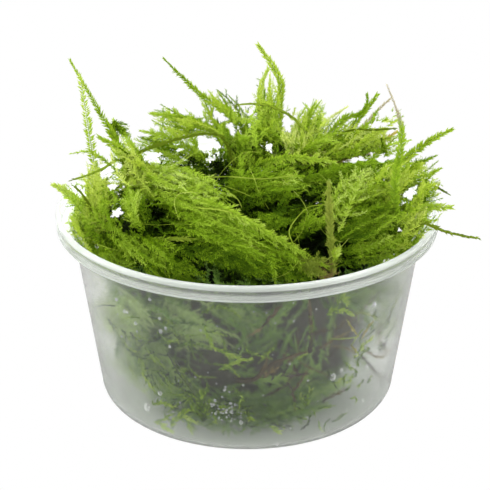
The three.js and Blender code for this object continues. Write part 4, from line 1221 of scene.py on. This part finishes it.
def growCover(seed, count, heights, angles, layer, tone, kind):
    rng = np.random.default_rng(seed)
    bag, look = newBag(), frondLooks["cover"]
    facingThere = (domeAngles - angles[0]) % 360 <= angles[1] - angles[0]
    wanted = (domeMiddles[:, 2] > heights[0]) & (domeMiddles[:, 2] < heights[1]) & facingThere
    chances = domeAreas * wanted
    for pick in rng.choice(len(chances), count, p=chances / chances.sum()):
        place, normal = onSurface(domeMiddles[pick] + rng.normal(0, 1.0, 3))
        # neighbours run much the same way, in waves over the heap
        drift = math.sin(place[0] * 0.07 + seed) * 1.6 + math.cos(place[1] * 0.08 + place[2] * 0.05) * 1.4
        drift += rng.normal(0, cover["driftScatter"])
        heading = headingOn(normal, drift)
        length, depth = rng.uniform(*cover["length"]), rng.uniform(*layer)
        free = cover["tipInTub"] if place[2] < tub["height"] else rng.uniform(*cover["freeTip"])
        points = []
        for s, lift in (*cover["lifts"], (1, free)):
            there, out = onSurface(place + heading * length * s + rng.normal(0, cover["placeScatter"], 3))
            points.append(there + out * (depth + lift))
        points = insideTub(points, look["clear"])
        if closesGap(points):
            continue
        # painted shade: the deeper a frond lies, the darker its leaves
        level = tone + rng.normal(0, cover["toneScatter"]) + min(depth, 0) * cover["depthShade"]
        growFrond(bag, points, look, kind, level, normal, rng, cover["turn"])
    return bag


# Short tufts at the back, on the same lines as the solid heap's
backTufts = {
    "count": 16, "length": 17, "width": 5.5, "goldenShare": 0.618034, "firstAngle": -0.35, "lastAngle": 3.5,
    "farthest": 42, "rootDepth": 5, "fronds": 12, "tone": 0.62,
}


def heapHeight(x, y):
    radius = math.hypot(x, y)
    t = np.linspace(len(heap["front"]) - 1, 9, 60)
    radii, heights = heapOutline(y / max(radius, 1e-6), t)
    return float(np.interp(radius, radii, heights))


def growBackTufts(seed):
    rng = np.random.default_rng(seed)
    bag, look = newBag(), frondLooks["tuft"]
    for i in range(backTufts["count"]):
        share = i * backTufts["goldenShare"] % 1
        angle = backTufts["firstAngle"] + (backTufts["lastAngle"] - backTufts["firstAngle"]) * share
        away = backTufts["farthest"] * math.sqrt(0.06 + 0.94 * (i + 0.5) / backTufts["count"])
        heading = angle + 1.5 * math.sin(i * 2.1)
        length = backTufts["length"] * (1 + 0.25 * math.sin(i * 3.7))
        width = backTufts["width"] * (1 + 0.3 * math.sin(i * 1.9))
        x, y = away * math.cos(angle), away * math.sin(angle)
        root = np.array([x, y, heapHeight(x, y) - backTufts["rootDepth"]])
        tip = root + np.array([math.cos(heading), math.sin(heading), 0]) * length * 0.8
        tip[2] = max(heapHeight(tip[0], tip[1]), root[2]) + length * (0.3 + 0.2 * math.sin(i * 5.3))
        middle = (root + tip) / 2 + [0, 0, length * 0.15]
        facing = unit(np.array([math.cos(angle), math.sin(angle), 1.0]))
        side = unit(np.cross(tip - root, facing))
        for _ in range(backTufts["fronds"]):
            shift = side * rng.normal(0, width * 0.22) + facing * rng.normal(0, 0.6)
            end = root + (tip - root) * rng.uniform(0.7, 1.04) + shift * rng.uniform(0.3, 1.6)
            points = insideTub([root + shift, middle + shift, end], look["clear"])
            if closesGap(points):
                continue
            tone = backTufts["tone"] + rng.normal(0, cover["toneScatter"])
            growFrond(bag, points, look, "behind", tone, facing, rng, cover["turn"])
    return bag


# Thin pale stems, bare and curled, that lie over the fronds. The bent ones run through pixels of the photo.
threads = {
    "count": 40, "across": (100, 400), "down": (165, 275), "length": (7, 16), "radius": 0.065, "tone": 0.6,
    "curl": 2.0, "step": 1.0, "bentRadius": 0.16, "bentLift": 1.8,
}
bentStems = {
    "roundPit": [(294, 248), (291, 233), (297, 219), (309, 212), (328, 210)],
    "overSweep": [(196, 214), (222, 216), (243, 224), (262, 240)],
    "centreLevel": [(205, 181), (232, 180), (262, 182), (296, 178)],
}


def growThreads(seed):
    rng = np.random.default_rng(seed)
    bag = newBag()
    for _ in range(threads["count"]):
        pixel = np.array([rng.uniform(*threads["across"]), rng.uniform(*threads["down"])])
        place, normal, hit = onHeap(pixel, -30.0)
        if not hit:
            continue
        heading = headingOn(normal, rng.uniform(0, 2 * math.pi))
        bend = np.cross(normal, heading) * rng.normal(0, threads["curl"])
        length = rng.uniform(*threads["length"])
        points = []
        for s, lift in ((0, -1.5), (0.3, 0.8), (0.65, 1.6), (1, rng.uniform(-0.5, 2.0))):
            there, out = onSurface(place + heading * length * s + bend * math.sin(math.pi * s))
            points.append(there + out * lift)
        points = insideTub(points, 1.0)
        if closesGap(points):
            continue
        run = smoothRun(points, threads["step"])[0]
        side, face = runFrames(run, normal)[1:]
        tone = threads["tone"] + rng.normal(0, 0.12)
        addStem(bag, run, side, face, np.full(len(run), threads["radius"]), np.full(len(run), tone))
    for pixels in bentStems.values():
        found = [onHeap(pixel, -30.0)[:2] for pixel in pixels]
        lifted = [place + normal * threads["bentLift"] for place, normal in found]
        run = smoothRun(lifted, threads["step"])[0]
        side, face = runFrames(run, found[2][1])[1:]
        addStem(bag, run, side, face, np.full(len(run), threads["bentRadius"]),
                np.full(len(run), threads["tone"]))
    return bag


coverPieces = {
    # the deep layers are painted shade: dark leaf colours at a low tone
    "moss_deep_front": ("shaded", growCover(21, 330, (50, 90), (180, 360), (-12, -4), 0.42, "deep")),
    "moss_deep_centre": ("grown", growCover(29, 170, (60, 90), (200, 340), (-9, -3.5), 0.42, "deep")),
    "moss_deep_back": ("shaded", growCover(22, 270, (38, 90), (0, 180), (-9, -3), 0.42, "deep")),
    "moss_back": ("young", growCover(23, 430, (36, 90), (-10, 190), (-2.5, 0.8), 0.62, "behind")),
    "moss_back_tufts": ("young", growBackTufts(27)),
    "moss_in_tub_front": ("fogged", growCover(24, 320, (1, 50), (180, 360), (-7, -1), 0.58, "deep")),
    "moss_at_wall": ("fogged", growWallLocks(26)),
    "moss_in_tub_back": ("fogged", growCover(25, 190, (1, 40), (0, 180), (-3.5, 0), 0.55, "deep")),
    "moss_threads": ("stem", growThreads(28)),
}
for pieceName, (family, bag) in coverPieces.items():
    piece = bagPiece(pieceName, clearGaps(bag), mossMaterials[family])
    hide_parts("moss_heap")
print("cover grown")


# Scraps and stems that lie on the inside of the wall, by pixel. Widths in millimetres.
scraps = {
    "leftStrip": {"run": [(112, 321), (119, 334), (127, 343)], "width": 1.3, "tone": 0.62},
    "leftStripTwo": {"run": [(123, 329), (128, 335), (133, 343)], "width": 1.1, "tone": 0.66},
    "leftLeafy": {"run": [(139, 354), (143, 368), (148, 380), (155, 389)], "width": 2.0, "tone": 0.8},
    "leftSlantOne": {"run": [(146, 346), (151, 354), (156, 361)], "width": 1.5, "tone": 0.74},
    "leftSlantTwo": {"run": [(151, 349), (158, 358), (163, 366)], "width": 1.2, "tone": 0.62},
    "leftHook": {"run": [(158, 330), (168, 341), (178, 339)], "width": 1.2, "tone": 0.66},
    "leftStem": {"run": [(168, 352), (178, 370), (190, 387), (201, 402)], "width": 0.8, "tone": 0.3,
                 "bare": True},
    "leftStemTwo": {"run": [(176, 360), (183, 372), (189, 384)], "width": 0.7, "tone": 0.34, "bare": True},
    "paleLeaves": {"run": [(153, 403), (162, 402), (170, 404), (177, 406)], "width": 2.0, "tone": 0.86},
    "lowLeavesLeft": {"run": [(155, 421), (163, 424), (171, 430)], "width": 2.6, "tone": 0.95},
    "lowLeavesMiddle": {"run": [(171, 424), (180, 416), (188, 417), (196, 421)], "width": 2.2, "tone": 0.84},
    "lowLeavesUp": {"run": [(180, 418), (184, 411), (190, 409)], "width": 2.0, "tone": 0.7},
    "darkClump": {"run": [(203, 421), (202, 410), (200, 400), (202, 393)], "width": 3.2, "tone": 0.52},
    "darkClumpLeft": {"run": [(205, 420), (196, 412), (194, 404)], "width": 2.4, "tone": 0.46},
    "darkClumpRight": {"run": [(204, 420), (208, 410), (209, 401)], "width": 2.4, "tone": 0.56},
    "underClump": {"run": [(187, 417), (190, 426), (193, 433)], "width": 1.4, "tone": 0.8},
    "middleLeafyTop": {"run": [(203, 322), (208, 334), (212, 344), (218, 350)], "width": 1.7, "tone": 0.78},
    "middleLeafy": {"run": [(217, 347), (226, 353), (234, 355), (242, 358)], "width": 1.9, "tone": 0.86},
    "middleLeafyLow": {"run": [(219, 369), (227, 366), (238, 360), (252, 358)], "width": 1.7, "tone": 0.84},
    "brownStem": {"run": [(234, 379), (246, 380), (257, 377), (263, 368), (267, 359)], "width": 1.3,
                  "tone": 0.42, "twig": True, "thick": 0.8},
    "brownStemFork": {"run": [(262, 371), (272, 363), (287, 357), (306, 351)], "width": 1.1, "tone": 0.5,
                      "twig": True, "thick": 0.55},
    "brownKnot": {"run": [(262, 377), (268, 372), (275, 368)], "width": 2.4, "tone": 0.62, "twig": True},
    "uprightStem": {"run": [(309, 352), (311, 336), (310, 318), (309, 301)], "width": 1.3, "tone": 0.4,
                    "twig": True, "thick": 0.6},
    "uprightLeaves": {"run": [(310, 350), (312, 334), (310, 316)], "width": 1.7, "tone": 0.56},
    "besideUpright": {"run": [(296, 359), (302, 355), (308, 352)], "width": 1.3, "tone": 0.84},
    "yellowBlob": {"run": [(269, 425), (275, 428), (280, 432)], "width": 2.2, "tone": 0.84},
    "darkBit": {"run": [(250, 426), (258, 424)], "width": 1.6, "tone": 0.4},
    "paleFish": {"run": [(326, 314), (334, 309), (343, 310), (352, 314)], "width": 2.4, "tone": 0.84},
    "paleFishBack": {"run": [(336, 304), (342, 297), (346, 303)], "width": 2.6, "tone": 0.8},
    "paleFishStem": {"run": [(350, 312), (362, 312), (378, 318)], "width": 0.8, "tone": 0.74, "bare": True},
    "orangeBit": {"run": [(346, 319), (351, 327), (357, 335)], "width": 1.1, "tone": 0.66, "old": True},
    "orangeBitRight": {"run": [(372, 320), (366, 328), (361, 337)], "width": 1.1, "tone": 0.7, "old": True},
    "paleStem": {"run": [(328, 338), (342, 338), (357, 336)], "width": 0.7, "tone": 0.8, "bare": True},
    "rightLeafy": {"run": [(353, 358), (358, 350), (364, 343), (371, 336)], "width": 2.0, "tone": 0.9},
    "rightLeafyLow": {"run": [(350, 344), (356, 352)], "width": 1.2, "tone": 0.6, "old": True},
    "rightStripe": {"run": [(386, 320), (391, 308), (396, 296), (402, 284)], "width": 1.8, "tone": 0.68},
    "rightStripeTwo": {"run": [(398, 306), (402, 294), (406, 282)], "width": 1.4, "tone": 0.62},
    "rightStripeLow": {"run": [(384, 338), (390, 328), (396, 316)], "width": 1.5, "tone": 0.6},
    "greenClump": {"run": [(305, 406), (307, 398), (310, 389)], "width": 2.4, "tone": 0.72},
    "greenClumpSide": {"run": [(307, 405), (302, 399), (300, 394)], "width": 1.6, "tone": 0.6},
    "rightHook": {"run": [(349, 398), (353, 396), (356, 400), (354, 403)], "width": 1.0, "tone": 0.8},
    "lowDark": {"run": [(331, 421), (338, 418), (346, 411)], "width": 1.2, "tone": 0.5},
    "lowFleck": {"run": [(240, 431), (246, 428)], "width": 1.0, "tone": 0.6},
    "rightFleck": {"run": [(366, 382), (371, 374)], "width": 1.2, "tone": 0.55},
    "rightFleckLow": {"run": [(344, 390), (349, 386)], "width": 1.4, "tone": 0.5},
}


# Crumbs of moss strewn along three lines on the wall, and loose stems behind them, by pixel
strewn = {
    "leftSlope": {"start": (116, 326), "end": (206, 418), "spread": 11, "count": 48, "length": (8, 24)},
    "foot": {"start": (160, 414), "end": (330, 414), "spread": 9, "count": 38, "length": (6, 18)},
    "rightSlope": {"start": (398, 300), "end": (338, 392), "spread": 9, "count": 18, "length": (8, 20)},
    "looseStems": {"start": (268, 372), "end": (376, 322), "spread": 20, "count": 20, "length": (24, 60),
                   "twig": True},
    "looseGreen": {"start": (130, 330), "end": (250, 372), "spread": 18, "count": 22, "length": (20, 50)},
}


scrapForm = {"inset": 0.35, "looseInset": (0.8, 3.0), "crumbInset": 0.45, "stem": 0.2, "taper": 0.3,
             "alongShare": 0.6, "crumbTone": (0.1, 0.68), "crumbWidth": (0.8, 1.7), "crumbStem": (0.1, 0.2)}


def growScraps():
    rng = np.random.default_rng(41)
    bags = {"young": newBag(), "stem": newBag(), "old": newBag(), "twig": newBag()}
    for scrap in scraps.values():
        points = insideTub([onWall(pixel, scrapForm["inset"]) for pixel in scrap["run"]], 0.25)
        outwards = unit(np.mean(points, axis=0) * [1, 1, 0])
        family = "stem" if scrap.get("bare") else "young"
        for marked in ("old", "twig"):
            family = marked if scrap.get(marked) else family
        width, tone = scrap["width"], scrap["tone"]
        kind = "pressed" if scrap.get("bare") or "thick" in scrap else "scrap"
        growShoot(bags[family], points, [width * 0.8, width, width * 0.7], kind,
                  [tone - 0.34, tone - 0.14, tone - 0.02], outwards, rng,
                  scrap.get("thick", scrapForm["stem"]), taper=scrapForm["taper"])
    for line in strewn.values():
        start, end = np.array(line["start"], float), np.array(line["end"], float)
        twig = line.get("twig", False)
        for _ in range(line["count"]):
            middle = start + (end - start) * rng.uniform(0, 1) + rng.normal(0, line["spread"], 2)
            angle, half = rng.uniform(0, math.pi), rng.uniform(*line["length"]) / 2
            if rng.random() < scrapForm["alongShare"]:
                angle = math.atan2(end[1] - start[1], end[0] - start[0]) + rng.normal(0, 0.35)
            reach = np.array([math.cos(angle), math.sin(angle)]) * half
            bend = np.array([-reach[1], reach[0]]) * rng.normal(0, 0.25)
            # long ones hang loose behind the wall, short ones lie on it
            inset = rng.uniform(*scrapForm["looseInset"]) if half > 12 else scrapForm["crumbInset"]
            pixels = (middle - reach, middle + bend, middle + reach)
            points = insideTub([onWall(pixel, inset) for pixel in pixels], 0.3)
            outwards = unit(np.mean(points, axis=0) * [1, 1, 0])
            tone, width = rng.uniform(*scrapForm["crumbTone"]), rng.uniform(*scrapForm["crumbWidth"])
            growShoot(bags["twig" if twig else "young"], points, [width * 0.7, width, width * 0.5],
                      "pressed" if twig else "scrap", [tone - 0.2, tone, tone + 0.05], outwards, rng,
                      rng.uniform(*scrapForm["crumbStem"]))
    return bags


for family, bag in growScraps().items():
    bag["corners"] = [insideTub(corners, 0.12) for corners in bag["corners"]]
    piece = bagPiece("wall_scraps_" + family, bag, mossMaterials[family])
print("wall scraps made")

# Drops on the inside of the wall: pixel, and width in millimetres
drops = {
    "largest": (147, 407, 2.1), "leftHigh": (90, 298, 1.1), "leftHighTwo": (117, 299, 1.0),
    "leftEdge": (97, 307, 0.7), "leftMiddle": (125, 311, 1.0), "leftLow": (136, 323, 1.1),
    "leftTop": (150, 299, 0.9), "leftTopTwo": (160, 318, 0.8), "leftPair": (161, 331, 1.0),
    "leftPairTwo": (166, 328, 0.8), "leftFoot": (160, 393, 1.4), "leftSpeck": (170, 346, 0.7),
    "rightHigh": (374, 304, 1.2), "rightRing": (333, 377, 1.7), "rightSmall": (341, 370, 1.0),
    "rightLow": (366, 366, 1.1), "rightLowTwo": (379, 370, 0.8), "rightFoot": (362, 400, 0.9),
    "middleLow": (241, 422, 1.0), "middleFoot": (277, 443, 0.8), "rightSpeck": (387, 370, 0.7),
}
dropShape = {
    "rings": 4, "sides": 10, "flat": 0.5, "tall": (0.9, 1.35), "wallGap": 0.03, "beaded": 150,
    "beadHeights": (3, 47), "beadWidths": (0.2, 0.6), "foam": 60, "foamMiddle": (226, 409),
    "foamSpread": (9, 8), "foamWidths": (0.2, 0.7),
}


def makeDrops():
    rng = np.random.default_rng(52)
    places = [(onWall((u, v), dropShape["wallGap"]), width) for u, v, width in drops.values()]
    # mist that has run together in beads, all round the wall
    for _ in range(dropShape["beaded"]):
        angle, height = rng.uniform(0, 2 * math.pi), rng.uniform(*dropShape["beadHeights"])
        radius = wallRadius(height) - tub["wall"] - dropShape["wallGap"]
        places.append((np.array([radius * math.cos(angle), radius * math.sin(angle), height]),
                       rng.uniform(*dropShape["beadWidths"])))
    # a patch of small ones low at the front, by pixel
    for _ in range(dropShape["foam"]):
        pixel = rng.normal(dropShape["foamMiddle"], dropShape["foamSpread"])
        places.append((onWall(pixel, dropShape["wallGap"]), rng.uniform(*dropShape["foamWidths"])))
    corners, faces, count = [], [], 0
    rings, sides = dropShape["rings"], dropShape["sides"]
    for place, width in places:
        outwards = unit(place * [1, 1, 0.0])
        turn = np.array([-outwards[1], outwards[0], 0.0])
        up = np.array([0.0, 0.0, 1.0])
        tall = rng.uniform(*dropShape["tall"])
        ringList = []
        for k in range(rings + 1):
            lean = math.pi * k / rings
            depth = width / 2 * dropShape["flat"] * (1 - math.cos(lean))
            size = width / 2 * math.sin(lean) if 0 < k < rings else 1e-3
            around = np.arange(sides) * 2 * math.pi / sides
            ringList.append(place - outwards * depth + np.outer(np.cos(around), turn) * size
                            + np.outer(np.sin(around), up) * size * tall)
        corners.append(np.vstack(ringList))
        k = np.arange(rings)[:, None] * sides
        i = np.arange(sides)[None, :]
        m = (i + 1) % sides
        faces.append(np.stack([k + i, k + sides + i, k + sides + m, k + m], -1).reshape(-1, 4) + count)
        count += len(corners[-1])
    makePiece("wall_drops", np.vstack(corners), np.vstack(faces), water, smooth=True)
    print("wall_drops", len(places), "drops")


makeDrops()


# Packed middle of the tangle: old stems pressed together, dull, and coloured dark as painted shade, because
# no light gets in; near its top the painted shade is a very dark green.
# Strands and heights in millimetres.
packedFinish = {
    "roughness": 0.8,
    "gloss": 0.05,
    "strand": 1.4,
    "strandDepth": 0.8,
    "strandStrength": 0.8,
    "colours": [(0.3, "#1f1f18"), (0.5, "#3a3a2e"), (0.7, "#5c5b4a")],
    "upperShadeColour": "#121d04",
    "upperFrom": 38,
    "upperTo": 45,
}


def packedShadeMaterial():
    material, tree = newMaterial("packedMossInPaintedShade")
    place = addNode(tree, "ShaderNodeNewGeometry")
    strands = addNode(tree, "ShaderNodeTexNoise",
                      {"Scale": 1 / (packedFinish["strand"] * millimetre), "Detail": 3.0},
                      {"Vector": place.outputs["Position"]})
    ramp = addNode(tree, "ShaderNodeValToRGB",
                   {"stops": [(mark, colour(value)) for mark, value in packedFinish["colours"]]},
                   {"Fac": strands.outputs[0]})
    bump = addNode(tree, "ShaderNodeBump",
                   {"Strength": packedFinish["strandStrength"],
                    "Distance": packedFinish["strandDepth"] * millimetre},
                   {"Height": strands.outputs[0]})
    height = addNode(tree, "ShaderNodeSeparateXYZ", {}, {0: place.outputs["Position"]})
    # painted shade: from 38 to 45 mm up, where the core shows between fronds, it turns a very dark green
    upper = addNode(tree, "ShaderNodeMapRange",
                    {"From Min": packedFinish["upperFrom"] * millimetre,
                     "From Max": packedFinish["upperTo"] * millimetre},
                    {"Value": height.outputs["Z"]})
    tinted = addNode(tree, "ShaderNodeMix", {"data_type": "RGBA", 7: colour(packedFinish["upperShadeColour"])},
                     {0: upper.outputs[0], 6: ramp.outputs[0]})
    packed = addNode(tree, "ShaderNodeBsdfPrincipled",
                     {"Roughness": packedFinish["roughness"], "Specular IOR Level": packedFinish["gloss"]},
                     {"Base Color": tinted.outputs[2], "Normal": bump.outputs[0]})
    addNode(tree, "ShaderNodeOutputMaterial", {}, {"Surface": packed.outputs[0]})
    return material


coreCorners, coreFaces = heapForm(heap["coreShrink"], heap["coreTop"])
core = makePiece("moss_core", coreCorners, coreFaces, packedShadeMaterial(), smooth=True)
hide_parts("moss_heap")
print("core made")


# Stage: matt white paper, burnt out to pure white where the camera sees it, and soft studio light. What
# the paper throws back at the object is less, so its underside stays in shade. Lengths in metres.
paper = {"half": 1.2, "drop": 0.0002, "throwsBack": "#8c8c8b", "throughPlastic": "#d0d0ce"}
studio = {"above": 0.9, "sides": 0.52, "lampAim": (0, 0, 0.05)}


def paperMaterial():
    material, tree = newMaterial("whitePaper")
    path = addNode(tree, "ShaderNodeLightPath")
    sheet = addNode(tree, "ShaderNodeBsdfDiffuse", {"Color": colour(paper["throwsBack"])})
    behind = addNode(tree, "ShaderNodeBsdfDiffuse", {"Color": colour(paper["throughPlastic"])})
    through = addNode(tree, "ShaderNodeMixShader", {},
                      {0: path.outputs["Is Transmission Ray"], 1: sheet.outputs[0], 2: behind.outputs[0]})
    lit = addNode(tree, "ShaderNodeEmission", {"Color": colour("#ffffff"), "Strength": 1.0})
    mix = addNode(tree, "ShaderNodeMixShader", {},
                  {0: path.outputs["Is Camera Ray"], 1: through.outputs[0], 2: lit.outputs[0]})
    addNode(tree, "ShaderNodeOutputMaterial", {}, {"Surface": mix.outputs[0]})
    return material


half = paper["half"]
floorMesh = bpy.data.meshes.new("floor")
floorMesh.from_pydata([(-half, -half, 0), (half, -half, 0), (half, half, 0), (-half, half, 0)],
                      [], [(0, 1, 2, 3)])
floorMesh.materials.append(paperMaterial())
floor = bpy.data.objects.new("floor", floorMesh)
floor.location = (0, 0, -paper["drop"])
bpy.context.collection.objects.link(floor)

world = bpy.data.worlds.new("studio")
world.use_nodes = True
bpy.context.scene.world = world
worldTree = world.node_tree
worldTree.nodes.clear()
# the camera sees white; the room itself is dimmer at the sides than above
seen = addNode(worldTree, "ShaderNodeLightPath")
around = addNode(worldTree, "ShaderNodeTexCoord")
upness = addNode(worldTree, "ShaderNodeSeparateXYZ", {}, {0: around.outputs["Generated"]})
roomLight = addNode(worldTree, "ShaderNodeMapRange",
                    {"From Min": 0.0, "From Max": 1.0, "To Min": studio["sides"], "To Max": studio["above"]},
                    {"Value": upness.outputs["Z"]})
room = addNode(worldTree, "ShaderNodeBackground", {"Color": colour("#ffffff")},
               {"Strength": roomLight.outputs[0]})
white = addNode(worldTree, "ShaderNodeBackground", {"Color": colour("#ffffff"), "Strength": 1.0})
direct = addNode(worldTree, "ShaderNodeMath", {"operation": "MAXIMUM"},
                 {0: seen.outputs["Is Camera Ray"], 1: seen.outputs["Is Transmission Ray"]})
sky = addNode(worldTree, "ShaderNodeMixShader", {},
              {0: direct.outputs[0], 1: room.outputs[0], 2: white.outputs[0]})
addNode(worldTree, "ShaderNodeOutputWorld", {}, {"Surface": sky.outputs[0]})

lights = {
    "topBox": {"place": (0.05, 0.25, 0.7), "size": 0.5, "power": 6.5},
    "leftBox": {"place": (-0.6, -0.1, 0.3), "size": 0.45, "power": 3.6},
    "rightBox": {"place": (0.6, -0.1, 0.3), "size": 0.45, "power": 3.0},
    "frontBox": {"place": (-0.2, -0.75, 0.35), "size": 0.5, "power": 3.0},
}
for name, light in lights.items():
    lightData = bpy.data.lights.new(name, "AREA")
    lightData.shape = "SQUARE"
    lightData.size = light["size"]
    lightData.energy = light["power"]
    lamp = bpy.data.objects.new(name, lightData)
    lamp.location = light["place"]
    towards = Vector(studio["lampAim"]) - Vector(light["place"])
    lamp.rotation_euler = towards.to_track_quat("-Z", "Y").to_euler()
    # soft light without a hard-edged mirror image in the wall
    lamp.visible_glossy = False
    lamp.visible_transmission = False
    bpy.context.collection.objects.link(lamp)

bpy.context.scene.view_settings.view_transform = "Standard"
print("stage set")
